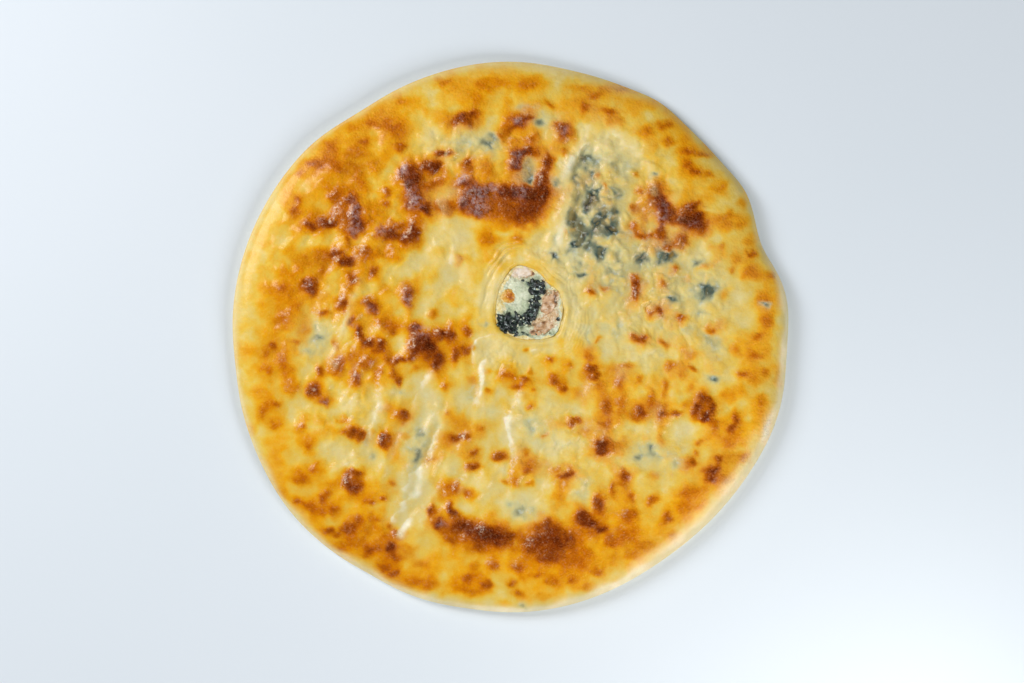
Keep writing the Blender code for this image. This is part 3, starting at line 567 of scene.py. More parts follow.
GREEN_TONES = (  # from a pale tint to a leaf just under the skin; they also give the painted shade in creases
    (0.0, "dacb8c"), (0.2, "ccca96"), (0.4, "b2b994"), (0.6, "85917c"), (0.8, "4a5c54"),
    (1.0, "202f30"),
)

# ---- in the vent

VENT_BITS = {  # centre, half-sizes, turn in degrees, bend, height, as the solids
    "spinach_lower": ((-2.1, 8.1), (7.4, 3.3), -46, 1.2, 2.3),
    "spinach_front": ((5.7, 9.6), (3.9, 3.7), 20, 0.0, 1.7),
    "spinach_middle": ((13.6, 16.0), (7.6, 2.9), 74, 0.6, 2.0),
    "spinach_upper": ((16.4, 29.3), (4.6, 4.4), 30, 0.0, 2.4),
    "chicken_upper": ((7.2, 37.9), (7.0, 3.3), 2, -1.0, 2.0),
    "chicken_right": ((23.6, 20.9), (7.8, 4.2), 60, 0.8, 2.3),
    "chicken_lower": ((18.2, 5.4), (7.8, 3.5), 24, 1.0, 1.9),
    "browned_cheese": ((-1.2, 24.4), (4.5, 4.7), 0, 0.0, 1.9),
}
BIT_EDGE = 0.5  # height of a bit's side wall
BIT_RINGS = 22
BIT_SPACING = 0.36

CURDS = (  # lumps of cheese that stand up from the filling: centre, half-sizes, height
    (5, 26, 4.2, 3.2, 0.9), (7, 21, 3.2, 2.6, 0.6), (4, 31.5, 3.6, 2.4, 0.8), (1.5, 16.5, 3.4, 2.4, 0.7),
    (19.5, 25.6, 1.6, 1.2, 1.6), (12.5, 5.4, 2.6, 1.2, 1.4), (8, 3.4, 2.2, 1.3, 1.2),
    (24.5, 1.8, 2.8, 1.8, 1.1), (12, -1, 2.6, 1.3, 1.1), (29.2, 15.4, 2.0, 3.4, 1.7),
    (20, 35.6, 3.0, 1.4, 1.0), (-5.8, 15.6, 1.4, 2.4, 0.8), (22, 31, 1.4, 2.4, 1.1),
    (9.5, 17.0, 1.8, 2.4, 0.7), (4.4, 2.6, 1.6, 1.0, 0.9),
)
CURD_LUMPS = ((2.8, 0.5), (1.3, 0.3), (0.7, 0.12))
CURD_RISE = 0.9  # the crumbly cheese in the vent stands this much above the filling's face
BRIM_RISE = 0.3  # and more at the torn edge
STAINS = (  # where leaf juice tints the cheese
    (-2, 8, 6, 6, 0.95), (5, 10, 5, 4, 0.9), (10, 11, 4, 4, 0.9), (14, 18, 3.4, 6, 0.95),
    (16, 30, 5, 4.5, 0.95), (8, 1.5, 8, 2.0, 0.5), (24, 2, 4, 2, 0.4), (10, 32, 2, 2, 0.4),
    (-2, 17, 4, 2, 0.4), (8, 19, 2, 3, 0.3), (5, 29, 3, 2, 0.2), (28, 14, 2, 4, 0.3),
)
MELTED = 2.2  # so far in from the torn edge, dough has run over the cheese
RUN_OVER = ((-7.5, 24, 5, 9, 1.0), (-5, 17, 3, 3, 0.7))  # and here further in
SHREDDED = (  # where shreds of meat lie in the cheese
    (7, 39, 9, 5, 1.0), (23, 21, 6, 9, 1.0), (18, 8, 9, 5, 1.0), (26, 12, 4, 5, 0.7),
    (20, 33, 3, 3, 0.6), (-3, 33, 4, 4, 0.5),
)

# ---- mesh densities

WRINKLE_SPACING = 0.6
SKIN_SPACING = 1.16
WRINKLES_END = (13.0, 26.0)  # the finer mesh round the vent ends between these distances
EDGE_BAND = 14.0  # the width of the edge that the edge rings below take
EDGE_RINGS = (
    13.0, 12.0, 11.0, 10.0, 9.0, 8.0, 7.0, 6.0, 5.1, 4.3, 3.6, 2.9, 2.3, 1.7, 1.2, 0.75, 0.35, 0.1,
)
UNDERSIDE_RINGS = ((0.0, 4.6), (0.15, 3.7), (0.5, 2.8), (1.2, 1.9), (2.2, 1.1), (3.4, 0.45))
BASE_INWARD = 6.0  # where the flat underside starts
BASE_SPACING = 6.0
CAVITY_SPACING = 5.0
CURD_SPACING = 0.5

RING_SHRINK = 0.87  # of the spacing, between rings, for nearly equal-sided triangles
LAST_RING_SHARE = 0.994  # of the way from the vent's centre to its torn edge

# ---- noise and soft areas

AREA_REACH = 3  # half-sizes, past which a soft area no longer counts
SPOT_REACH = 5  # the same for a browned blister with its golden ground
NOISE_GAIN = 1.6  # brings the noise to about -1 to 1
LAYER_STEP = 7.3  # between layers of noise, so that they don't look alike


# ---- the surfaces


def swollen_radius(radius, swells, angle):
    """The radius of an outline at an angle, with its swells and dents."""
    total = np.full(np.shape(angle), float(radius))
    for at, spread, reach in swells:
        turn = (np.degrees(angle) - at + 180.0) % 360.0 - 180.0
        total += reach * np.exp(-((turn / spread) ** 2))
    return total


def on_ray(centre, radius, angle):
    return centre[0] + radius * np.cos(angle), centre[1] + radius * np.sin(angle)


def edge_point(inward, angle):
    """A point that lies inward of the pie's outline."""
    return on_ray(PIE_CENTRE, swollen_radius(PIE_RADIUS, EDGE_SWELLS, angle) - inward, angle)


def edge_distance(x, y):
    """How far a point lies inside the pie's outline."""
    across, along = x - PIE_CENTRE[0], y - PIE_CENTRE[1]
    edge = swollen_radius(PIE_RADIUS, EDGE_SWELLS, np.arctan2(along, across))
    return edge - np.hypot(across, along)


def vent_point(share, angle):
    """A point on the way from the vent's centre, share 0, to its torn edge, share 1."""
    return on_ray(VENT_CENTRE, share * swollen_radius(VENT_RADIUS, VENT_SWELLS, angle), angle)


def vent_angle(x, y):
    return np.arctan2(y - VENT_CENTRE[1], x - VENT_CENTRE[0])


def vent_distance(x, y):
    """How far a point lies outside the vent's torn edge; negative in the vent."""
    edge = swollen_radius(VENT_RADIUS, VENT_SWELLS, vent_angle(x, y))
    return np.hypot(x - VENT_CENTRE[0], y - VENT_CENTRE[1]) - edge


def between(share, angle, outer_inward):
    """A point on the way from the vent's edge, share 0, to near the outline, share 1."""
    near_x, near_y = vent_point(1.0, angle)
    far_x, far_y = edge_point(outer_inward, angle)
    return near_x + share * (far_x - near_x), near_y + share * (far_y - near_y)


def arch(share):
    """A quarter circle's rise, from 0 to 1."""
    return np.sqrt(1.0 - (1.0 - np.clip(share, 0.0, 1.0)) ** 2)


def smooth(value, low, high):
    """A soft step from 0 at low to 1 at high."""
    share = np.clip((value - low) / (high - low), 0.0, 1.0)
    return share * share * (3.0 - 2.0 * share)


def bump(distance):
    """A smooth bump: 1 at distance 0 and gone by about 2."""
    return np.exp(-(distance**2))


def oval(x, y, at_x, at_y, half_x, half_y, turn=0.0):
    """The distance from an oval's centre, in its half-sizes."""
    cos, sin = math.cos(math.radians(turn)), math.sin(math.radians(turn))
    along = ((x - at_x) * cos + (y - at_y) * sin) / half_x
    across = ((y - at_y) * cos - (x - at_x) * sin) / half_y
    return np.hypot(along, across)


def path_distance(x, y, path):
    """The distance from a point to a line through a few points."""
    return path_sides(x, y, path)[0]


def path_sides(x, y, path):
    """The distance to a line through a few points, and how far on its left a point lies."""
    nearest = np.full(np.shape(x), np.inf)
    left = np.zeros(np.shape(x))
    for (ax, ay), (bx, by) in zip(path, path[1:]):
        run_x, run_y = bx - ax, by - ay
        share = ((x - ax) * run_x + (y - ay) * run_y) / (run_x**2 + run_y**2)
        share = np.clip(share, 0.0, 1.0)
        far = np.hypot(x - ax - share * run_x, y - ay - share * run_y)
        aside = ((y - ay) * run_x - (x - ax) * run_y) / math.hypot(run_x, run_y)
        left = np.where(far < nearest, aside, left)
        nearest = np.minimum(nearest, far)
    return nearest, left


def noise_places(x, y, size, layer):
    """Where a layer of noise is read for each point."""
    pairs = zip((np.ravel(x) / size).tolist(), (np.ravel(y) / size).tolist())
    return [(u, v, LAYER_STEP * layer) for u, v in pairs]


def lumps(x, y, size, layer):
    """Smooth noise from about -1 to 1, in lumps about as wide as size."""
    made = [NOISE_GAIN * noise.noise(place) for place in noise_places(x, y, size, layer)]
    return np.reshape(made, np.shape(x))


def bubbles(x, y, size, layer):
    """Round bubbles, 0 between them and 1 on top, about as wide as size."""
    return 1.0 - np.abs(lumps(x, y, size, layer)) * 1.4


def pillows(x, y, size, layer):
    """Rounded lumps, 1 on top and 0 in the creases between them, about as wide as size."""
    near = np.array([noise.voronoi(place)[0][:2] for place in noise_places(x, y, size, layer)])
    return 1.0 - np.exp(-2.6 * np.reshape(near[:, 1] - near[:, 0], np.shape(x)))


def broad_height(x, y):
    """The flat middle's height with the broad lumps of filling."""
    height = np.full(np.shape(x), TOP_HEIGHT)
    for at_x, at_y, radius, rise in BROAD_SWELLS:
        height += rise * bump(np.hypot(x - at_x, y - at_y) / radius)
    return height


def blister_height(x, y):
    return sum(rise * bump(oval(x, y, *place)) for *place, rise in BLISTERS)


def fold_height(x, y, folds):
    return sum(rise * bump(path_distance(x, y, path) / half) for half, rise, path in folds)


def lip_height(x, y):
    """The roof swells to a soft lip round the vent and rolls down into it."""
    out = vent_distance(x, y)
    swell = LIP_RISE * bump((out - LIP_WIDTH / 2) / (LIP_WIDTH / 2))
    return swell - LIP_ROLL * bump(out / (LIP_WIDTH / 4))


def top_height(x, y):
    """The crust's upper skin, as the solid has it."""
    inside = edge_distance(x, y)
    relief = (blister_height(x, y) + fold_height(x, y, FOLDS)) * np.minimum(
        inside / RELIEF_FADE, 1.0
    )
    dome = (broad_height(x, y) - SIDE_HEIGHT) * arch(inside / SHOULDER)
    return SIDE_HEIGHT + dome + relief + lip_height(x, y)


def roof_underside(x, y):
    """The ceiling of the crust's cavity."""
    ceiling = broad_height(x, y) - ROOF_THICKNESS
    ceiling += LIP_THINNING * bump(vent_distance(x, y) / LIP_WIDTH)
    rise = arch((edge_distance(x, y) - RIM_WIDTH) / CAVITY_SHOULDER)
    return RIM_INNER_HEIGHT + (ceiling - RIM_INNER_HEIGHT) * rise


def filling_height(x, y):
    """The filling's upper face: just under the ceiling, and level in the vent."""
    into = smooth(-vent_distance(x, y), 0.0, VENT_RADIUS / 2)
    under = roof_underside(x, y) - GAP
    return under + (VENT_FILLING_HEIGHT - under) * into


def curd_height(x, y):
    """The filling with its curds, where it shows in the vent."""
    shown = smooth(-vent_distance(x, y), -1.4, 0.2)
    rough = sum(rise * lumps(x, y, size, 40 + size) for size, rise in CURD_LUMPS)
    curds = sum(rise * bump(oval(x, y, *place)) for *place, rise in CURDS)
    brim = BRIM_RISE * bump((vent_distance(x, y) + 0.3) / 2.0)
    return filling_height(x, y) + shown * (CURD_RISE + rough + curds + brim)


# ---- the skin's fields


def strayed(x, y):
    """Points moved a little by noise, so that what is placed there has an uneven edge."""
    right = 1.6 * lumps(x, y, 7.5, 1) + 0.8 * lumps(x, y, 3.4, 2)
    up = 1.6 * lumps(x, y, 7.5, 3) + 0.8 * lumps(x, y, 3.4, 4)
    return x + right, y + up


def wavered(x, y):
    """Points moved gently by noise, so that long lines waver."""
    return x + 1.6 * lumps(x, y, 11.0, 15), y + 1.6 * lumps(x, y, 11.0, 16)


def ragged(x, y):
    """Points moved in small and large steps, for the lines of torn skin."""
    x, y = wavered(x, y)
    return x + 0.9 * lumps(x, y, 4.2, 43), y + 0.9 * lumps(x, y, 4.2, 44)


def skin_lumps(x, y):
    """The lumps of the skin, about -1 to 1: their tops bake darker."""
    return sum(share * lumps(x, y, size, 20 + size) for size, share in SKIN_LUMPS)


def burst_height(x, y):
    """The rings that burst blisters leave."""
    total = np.zeros(np.shape(x))
    for at_x, at_y, radius, rise in BURST:
        total += rise * bump((np.hypot(x - at_x, y - at_y) - radius) / 1.2)
    return total


def scarp_height(x, y):
    """Steps of the skin, where it slid over itself."""
    x, y = ragged(x, y)
    total = np.zeros(np.shape(x))
    for rise, half, whiteness, _, path in SCARPS:
        far, left = path_sides(x, y, path)
        raised = np.tanh(left / half)
        if whiteness > CRISP:
            raised = 1.0 - 2.0 * np.exp(-np.maximum(left, 0.0) / half)
        total += 0.5 * rise * raised * bump(far / SCARP_REACH)
    return total


def scarp_fields(x, y):
    """How whitish the steps' faces are, partly as painted light, and the painted shade at their feet."""
    width = 1.0 + 0.6 * lumps(x, y, 9.0, 42)
    stretched = np.clip(0.8 + 0.6 * lumps(x, y, 10.0, 45), 0.25, 1.15)
    x, y = ragged(x, y)
    white, shade = np.zeros(np.shape(x)), np.zeros(np.shape(x))
    for _, half, whiteness, shading, path in SCARPS:
        far, left = path_sides(x, y, path)
        along = bump(np.maximum(far - np.abs(left), 0.0) / half)
        face = smooth(left, -0.8, 0.2) * (1.0 - smooth(left / width, 0.4 * half, 3.0 * half))
        white += whiteness * face * along * stretched
        shade += shading * bump((left + 0.8 * half) / (1.1 * half)) * along
    return np.clip(white, 0.0, 1.0), np.clip(shade, 0.0, 1.0)


def spot(distance):
    """A spot with a dark middle and a soft surround."""
    return 0.62 * np.exp(-(distance**3)) + 0.38 * bump(distance / 1.45)


def browned(x, y):
    """How far the blisters have browned, from 0 to 1, and the golden ground round them."""
    x, y = strayed(x, y)
    left, plain = np.ones(np.shape(x)), np.ones(np.shape(x))
    for strength, spots in BROWNED.items():
        for place in spots:
            near = np.abs(x - place[0]) < SPOT_REACH * place[2]
            near &= np.abs(y - place[1]) < SPOT_REACH * place[3]
            far = oval(x[near], y[near], *place)
            left[near] *= 1.0 - strength * spot(far)
            past_edge = np.maximum(far - 0.8, 0.0) * min(place[2], place[3])
            plain[near] *= 1.0 - strength * bump(past_edge / HALO)
    brown = 1.0 - left
    return brown - past(brown, BROWNEST, 0.25), 1.0 - plain


def reached(x, y, areas):
    """For each soft area: the points near it, their distance in its sizes, and its strength."""
    for *place, strength in areas:
        near = np.abs(x - place[0]) < AREA_REACH * place[2]
        near &= np.abs(y - place[1]) < AREA_REACH * place[3]
        yield near, oval(x[near], y[near], *place), strength


def spread(x, y, areas):
    """The sum of soft areas."""
    total = np.zeros(np.shape(x))
    for near, far, strength in reached(x, y, areas):
        total[near] += strength * bump(far)
    return total


def combined(x, y, areas, grow=1.0):
    """Soft areas put together without going past 1."""
    left = np.ones(np.shape(x))
    for near, far, strength in reached(x, y, areas):
        left[near] *= 1.0 - strength * bump(far / grow)
    return 1.0 - left


def rim_paleness(x, y):
    """1 at the very edge, 0 where the baked top starts."""
    angle = np.arctan2(y - PIE_CENTRE[1], x - PIE_CENTRE[0])
    width = swollen_radius(RIM_PALENESS, RIM_WIDENINGS, angle) + 1.2 * lumps(x, y, 11.0, 5)
    return 1.0 - smooth(edge_distance(x, y), 0.3 * width, 1.7 * width)


def raw_field(x, y, white):
    """Where the dough looks whitish: at the rim, where it was stretched, and with painted light on the
    steps' faces.
    """
    near_x, near_y = strayed(x, y)
    angle = np.arctan2(y - PIE_CENTRE[1], x - PIE_CENTRE[0])
    rim = rim_paleness(x, y) * swollen_radius(RIM_STRENGTH, RIM_STRENGTHS, angle)
    crests = fold_height(x, y, [fold for fold in FINE_FOLDS if fold[1] > 0])
    pale = smooth(combined(near_x, near_y, PALE), 0.35, 0.9)
    return np.clip(rim + 0.5 * pale + 0.35 * crests + 0.9 * white, 0.0, 1.0)


def toast_field(x, y, brown, golden):
    """How baked the dough looks, from 0, pale, to 1, burnt."""
    near_x, near_y = strayed(x, y)
    tops = skin_lumps(x, y)
    even = GROUND_TOAST + 0.9 * spread(near_x, near_y, TOASTED) + HALO_TOAST * golden
    even += 0.05 * tops + 0.08 * smooth(tops, -0.3, 0.8) + 0.06 * lumps(near_x, near_y, 6.0, 14)
    even *= 1.0 - PALE_SHARE * combined(near_x, near_y, PALE)
    return even + (1.0 - even) * brown * np.clip(0.92 + 0.12 * lumps(x, y, 3.0, 13), 0.0, 1.0)


def green_field(x, y, brown, shade, lumpy):
    """Where leaf shines through, most in the dips as partly painted shade, and the painted shade in the
    creases at the steps' feet.
    """
    near_x, near_y = strayed(x, y)
    mottle = 1.0 - 0.4 * lumps(x, y, 6.5, 9) + 0.15 * lumps(x, y, 3.0, 10)
    dips = 1.2 - 0.6 * smooth(lumpy, 0.0, 1.9)
    seen = combined(near_x, near_y, GREENS, GREEN_GROWTH) * np.clip(mottle, 0.4, 1.5) * dips
    patchy = smooth(lumps(near_x, near_y, 7.5, 17) + 0.2 * lumps(x, y, 3.0, 18), -0.2, 0.95)
    seen += combined(x, y, LEAFY_AREAS) * patchy * dips
    seen -= past(seen, 0.9, 0.35)
    return (seen + 0.55 * shade) * (1.0 - smooth(brown, 0.15, 0.5))


def collar_height(x, y):
    """Wrinkles of the dough that was stretched round the vent."""
    out = vent_distance(x, y) + COLLAR_WAVER * lumps(x, y, 9.0, 11)
    strength = np.clip(0.8 + 1.2 * lumps(x, y, 12.0, 19), 0.2, 1.4)
    degrees = np.degrees(vent_angle(x, y)) % 360.0
    total = np.zeros(np.shape(x))
    for first, last, at, half, rise in COLLARS:
        middle, reach = (first + last) / 2, (last - first) / 2
        turn = np.abs((degrees - middle + 180.0) % 360.0 - 180.0)
        total += rise * bump((out - at) / half) * (1.0 - smooth(turn, 0.7 * reach, reach))
    return strength * total


def stuffed(x, y):
    """Lumps of the filling under the skin: how much they show, and their height."""
    near_x, near_y = strayed(x, y)
    shown = np.clip(spread(x, y, LUMPY_AREAS), 0.0, 1.0)
    return shown, sum(rise * pillows(near_x, near_y, size, size) for size, rise in PILLOWS) - PILLOW_DROP


def ridge_height(x, y):
    """Long ridges side by side, where the skin hung and slid."""
    near_x, near_y = wavered(x, y)
    cos, sin = math.cos(RIDGE_SLANT), math.sin(RIDGE_SLANT)
    across, along = near_x * cos - near_y * sin, (near_x * sin + near_y * cos) / RIDGE_STRETCH
    ridges = sum(rise * lumps(across, along, size, 50 + size) for size, rise in RIDGES)
    return np.clip(spread(x, y, RIDGED_AREAS), 0.0, 1.0) * ridges


def past(height, limit, softness):
    """How much a height past a limit has to give back, to come near it softly."""
    over = np.maximum(height - limit + softness, 0.0) / softness
    return softness * (over - np.tanh(over))


def skin_relief(x, y, brown, shown, lumpy):
    """All that the looks add to the solid's upper skin."""
    near_x, near_y = wavered(x, y)
    fine = LUMP_HEIGHT * skin_lumps(x, y) + shown * lumpy + ridge_height(x, y)
    fine += brown * sum(rise * bubbles(x, y, size, 22 + size) for size, rise in BUBBLE_SIZES)
    fine += fold_height(near_x, near_y, FINE_FOLDS) + scarp_height(x, y) + burst_height(x, y)
    return SPOT_RISE * brown + fine + past(-fine, DEEPEST, DEEPEST_SOFTNESS)


def skin_height(x, y, relief):
    """The crust's upper skin."""
    fade = smooth(edge_distance(x, y), *RELIEF_GROWTH) * smooth(vent_distance(x, y), 0.0, 6.0)
    height = top_height(x, y) + (relief - SKIN_DROP) * fade + collar_height(x, y)
    height -= EDGE_ROLL * bump(vent_distance(x, y))
    height -= past(height, CEILING, CEILING_SOFTNESS)
    return height + past(-height, -roof_underside(x, y) - THINNEST, THINNEST_SOFTNESS)


# ---- mesh making


def angles(count):
    return math.tau * np.arange(count) / count


def rows_of(place, height):
    """A ring's points from its x and y and a height, or a function that gives it."""
    x, y = place
    z = height(x, y) if callable(height) else np.full(np.shape(x), float(height))
    return np.column_stack((x, y, z))


def spaced(length, spacing):
    return max(8, round(length / spacing))


def skin_rings():
    """Rings over the top from the vent's edge outward: finer round the vent."""
    span = PIE_RADIUS - EDGE_BAND - VENT_RADIUS
    out = 0.0
    rings = []
    while out < span:
        coarse = smooth(out, *WRINKLES_END)
        spacing = WRINKLE_SPACING + (SKIN_SPACING - WRINKLE_SPACING) * coarse
        count = spaced(math.tau * (VENT_RADIUS + out), spacing)
        rings.append(between(out / span, angles(count), EDGE_BAND))
        out += RING_SHRINK * spacing
    rings.append(between(1.0, angles(edge_count()), EDGE_BAND))
    return rings


def edge_count():
    return spaced(math.tau * (PIE_RADIUS - EDGE_BAND), SKIN_SPACING)


def roof_rings(height, spacing):
    """Coarse rings from the vent's edge to the cavity's rim."""
    span = PIE_RADIUS - RIM_WIDTH - VENT_RADIUS
    steps = round(span / spacing)
    rings = []
    for step in range(steps + 1):
        share = step / steps
        count = spaced(math.tau * (VENT_RADIUS + share * span), spacing)
        rings.append(rows_of(between(share, angles(max(count, 60)), RIM_WIDTH), height))
    return rings


def flat_rings(inward, height, spacing):
    """Rings of a flat face from near its rim to near its middle."""
    radius = PIE_RADIUS - inward - 2 * spacing
    rings = []
    while radius > spacing:
        count = spaced(math.tau * radius, spacing)
        rings.append(rows_of(on_ray((0.0, 0.0), radius, angles(count)), height))
        radius -= 2 * spacing
    return rings


def stitch(faces, inner, outer):
    """Triangles between two rings, whichever ring has more points."""
    i = j = 0
    while i < len(inner) or j < len(outer):
        corner = inner[i % len(inner)]
        mate = outer[j % len(outer)]
        if (i + 1) * len(outer) <= (j + 1) * len(inner) and i < len(inner) or j == len(outer):
            faces.append((corner, mate, inner[(i + 1) % len(inner)]))
            i += 1
        else:
            faces.append((corner, mate, outer[(j + 1) % len(outer)]))
            j += 1


def skin_of(rings):
    """Points and faces of one closed skin from rings; its ends close on a point in the middle."""
    ends = [rings[0].mean(axis=0), rings[-1].mean(axis=0)]
    rows = []
    count = 1
    for ring in rings:
        rows.append(range(count, count + len(ring)))
        count += len(ring)
    points = np.vstack([ends[0][None, :], *rings, ends[1][None, :]])
    faces = [(0, at, rows[0][(step + 1) % len(rows[0])]) for step, at in enumerate(rows[0])]
    for inner, outer in zip(rows, rows[1:]):
        stitch(faces, inner, outer)
    for step, at in enumerate(rows[-1]):
        faces.append((at, count, rows[-1][(step + 1) % len(rows[-1])]))
    return points, faces


def joined(skins):
    """Several closed skins as one list of points and one of faces."""
    points, faces, start = [], [], 0
    for more_points, more_faces in skins:
        points.append(more_points)
        faces += [tuple(start + corner for corner in face) for face in more_faces]
        start += len(more_points)
    return np.vstack(points), faces


def placed(name, data):
    """A new object in the scene."""
    made = bpy.data.objects.new(name, data)
    bpy.context.scene.collection.objects.link(made)
    return made


def add_piece(name, points, faces, material, fields):
    """An object of the pie with a value on each point for every field."""
    mesh = bpy.data.meshes.new(name)
    mesh.from_pydata((points * MM).tolist(), [], faces)
    mesh.shade_smooth()
    for field, values in fields.items():
        attribute = mesh.attributes.new(field, "FLOAT", "POINT")
        attribute.data.foreach_set("value", np.asarray(values, np.float32))
    mesh.materials.append(material)
    piece = placed(name, mesh)
    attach(piece, "root")
    return piece


# ---- materials


def srgb(code):
    """A colour such as e8b039 as Blender's linear red, green, blue and alpha."""
    parts = [int(code[at : at + 2], 16) / 255.0 for at in (0, 2, 4)]
    linear = [part / 12.92 if part < 0.04045 else ((part + 0.055) / 1.055) ** 2.4 for part in parts]
    return (*linear, 1.0)


SOCKET_NAMES = {
    "specular": "Specular IOR Level",
    "specular_tint": "Specular Tint",
    "coat": "Coat Weight",
    "coat_roughness": "Coat Roughness",
    "depth": "Subsurface Weight",
    "depth_radius": "Subsurface Radius",
    "depth_scale": "Subsurface Scale",
}


class Shader:
    """A material's node tree and short ways to add to it."""

    def __init__(self, name):
        self.material = bpy.data.materials.new(name)
        self.material.use_nodes = True
        self.tree = self.material.node_tree
        self.skin = self.tree.nodes["Principled BSDF"]
        self.where = self.node("ShaderNodeTexCoord").outputs["Object"]

    def set(self, socket, value):
        if isinstance(value, bpy.types.NodeSocket):
            self.tree.links.new(value, socket)
        else:
            socket.default_value = value

    def node(self, kind, inputs=None, **settings):
        made = self.tree.nodes.new(kind)
        for name, value in settings.items():
            setattr(made, name, value)
        for name, value in (inputs or {}).items():
            self.set(made.inputs[name], value)
        return made

    def field(self, name):
        return self.node("ShaderNodeAttribute", attribute_name=name).outputs["Fac"]

    def noise(self, size, detail=2.0, roughness=0.5, stretch=None):
        """Noise with lumps about as wide as size, in millimetres."""
        place = self.where
        if stretch:
            inputs = {"Vector": place, "Scale": stretch[0], "Rotation": (0, 0, stretch[1])}
            place = self.node("ShaderNodeMapping", inputs).outputs["Vector"]
        inputs = {"Vector": place, "Scale": 1 / (size * MM), "Detail": detail}
        inputs["Roughness"] = roughness
        return self.node("ShaderNodeTexNoise", inputs).outputs[0]

    def cells(self, size):
        """Rounded cells about as wide as size, in millimetres: 0 in a cell's middle."""
        inputs = {"Vector": self.where, "Scale": 1 / (size * MM), "Smoothness": 0.35}
        made = self.node("ShaderNodeTexVoronoi", inputs, feature="SMOOTH_F1")
        return made.outputs["Distance"]

    def math(self, operation, first, second, third=0.0, clamp=False):
        made = self.node("ShaderNodeMath", operation=operation, use_clamp=clamp)
        for socket, value in zip(made.inputs, (first, second, third)):
            self.set(socket, value)
        return made.outputs[0]

    def times(self, first, second):
        """A product that stays between 0 and 1."""
        return self.math("MULTIPLY", first, second, clamp=True)

    def scaled(self, value, gain, offset):
        """A value stretched and moved, and kept between 0 and 1."""
        return self.math("MULTIPLY_ADD", value, gain, offset, clamp=True)

    def varied(self, base, texture, amount):
        """The base with a texture of mean 0.5 added, so that it varies by the amount."""
        return self.math("ADD", base, self.math("MULTIPLY_ADD", texture, amount, -amount / 2))

    def ramp(self, value, tones):
        made = self.node("ShaderNodeValToRGB", {"Fac": value})
        steps = made.color_ramp.elements
        while len(steps) < len(tones):
            steps.new(1.0)
        for step, (at, code) in zip(steps, tones):
            step.position = at
            step.color = srgb(code)
        return made.outputs["Color"]

    def mix(self, share, first, second):
        made = self.node("ShaderNodeMix", data_type="RGBA")
        self.set(made.inputs[0], share)
        self.set(made.inputs[6], first)
        self.set(made.inputs[7], second)
        return made.outputs[2]

    def bumped(self, height, distance, normal=None):
        """Fine relief of the given height in millimetres."""
        inputs = {"Height": height, "Distance": distance * MM, "Strength": 1.0}
        if normal is not None:
            inputs["Normal"] = normal
        return self.node("ShaderNodeBump", inputs).outputs["Normal"]

    def finish(self, colour, roughness, normal, **fixed):
        self.set(self.skin.inputs["Base Color"], colour)
        self.set(self.skin.inputs["Roughness"], roughness)
        self.set(self.skin.inputs["Normal"], normal)
        for name, value in fixed.items():
            self.skin.inputs[SOCKET_NAMES[name]].default_value = value
        return self.material


def crust_material():
    shader = Shader("baked_dough")
    baked, raw, painted_shading = shader.field("toast"), shader.field("raw"), shader.field("painted_shading")
    facing = shader.field("facing")
    grain = shader.math("SUBTRACT", shader.noise(2.6, 3.0, 0.6), 0.5)
    toast = shader.math("MULTIPLY_ADD", grain, shader.math("MULTIPLY_ADD", baked, 0.1, 0.1), baked)
    toast = shader.varied(toast, shader.noise(0.9, 2.0, 0.6), 0.08)
    pale = shader.ramp(shader.varied(raw, shader.noise(2.0), 0.3), RAW_TONES)
    dough = shader.mix(raw, shader.ramp(toast, DOUGH_TONES), pale)

    share = shader.varied(1.05, shader.noise(3.6, 3.0, 0.55), 0.5)
    share = shader.math("MULTIPLY", shader.field("green"), share)
    cover = shader.times(share, 1.4)
    bare = shader.math("SUBTRACT", 1.0, cover)
    colour = shader.mix(cover, dough, shader.ramp(share, GREEN_TONES))
    # Painted bluish-white glints on the leaves under the skin.
    leaf_glints = shader.scaled(shader.noise(3.2, 3.0, 0.55), 5.0, -2.75)
    leaf_glints = shader.times(leaf_glints, shader.times(share, 0.9))
    colour = shader.mix(leaf_glints, colour, srgb(LEAF_GLINT_TONE))

    # Painted shade in the dips and on slopes turned from the key light; painted light on the crests and
    # on slopes that face it.
    colour = shader.mix(shader.times(painted_shading, 0.6), colour, shader.ramp(toast, PAINTED_SHADE_TONES))
    colour = shader.mix(shader.times(painted_shading, -0.35), colour, shader.ramp(toast, PAINTED_LIGHT_TONES))
    # Painted sheen on the slopes that face the key light.
    glint = shader.scaled(shader.noise(1.7, 3.0, 0.6), 5.0, -2.2)
    painted_sheen = shader.times(shader.times(facing, glint), bare)
    colour = shader.mix(shader.times(painted_sheen, 0.55), colour, srgb(SHEEN_TONE))
    # Painted greyish reflections on the dark blisters.
    patchy = shader.scaled(shader.noise(2.4, 3.0, 0.6), 6.0, -2.4)
    painted_reflection = shader.times(shader.field("painted_reflection"), patchy)
    colour = shader.mix(shader.times(painted_reflection, 0.85), colour, srgb(REFLECTION_TONE))

    # Painted glints near the browned blisters, on the slopes that face the key light.
    painted_glints = shader.math("MULTIPLY_ADD", shader.noise(1.5), 12.0, -9.9)
    painted_glints = shader.scaled(shader.noise(6.0), 6.0, painted_glints)
    near_brown, lit_side = shader.scaled(baked, 2.2, -0.3), shader.scaled(facing, 2.2, 0.07)
    for limit in (near_brown, lit_side, bare):
        painted_glints = shader.times(painted_glints, limit)
    colour = shader.mix(shader.times(painted_glints, 0.75), colour, srgb(GLINT_TONE))

    bubbly = shader.scaled(toast, 1.5, -0.3)
    fine = shader.math("MULTIPLY", shader.math("SUBTRACT", 0.6, shader.cells(1.4)), bubbly)
    normal = shader.bumped(fine, 0.9, shader.bumped(shader.noise(2.8), 0.5))
    roughness = shader.varied(0.34, shader.noise(4.0), 0.16)
    return shader.finish(
        colour, roughness, normal, specular=0.22, specular_tint=srgb("f0b060"), coat=0.24,
        coat_roughness=0.18, depth=0.1, depth_radius=(1.0, 0.45, 0.15), depth_scale=0.0012,
    )


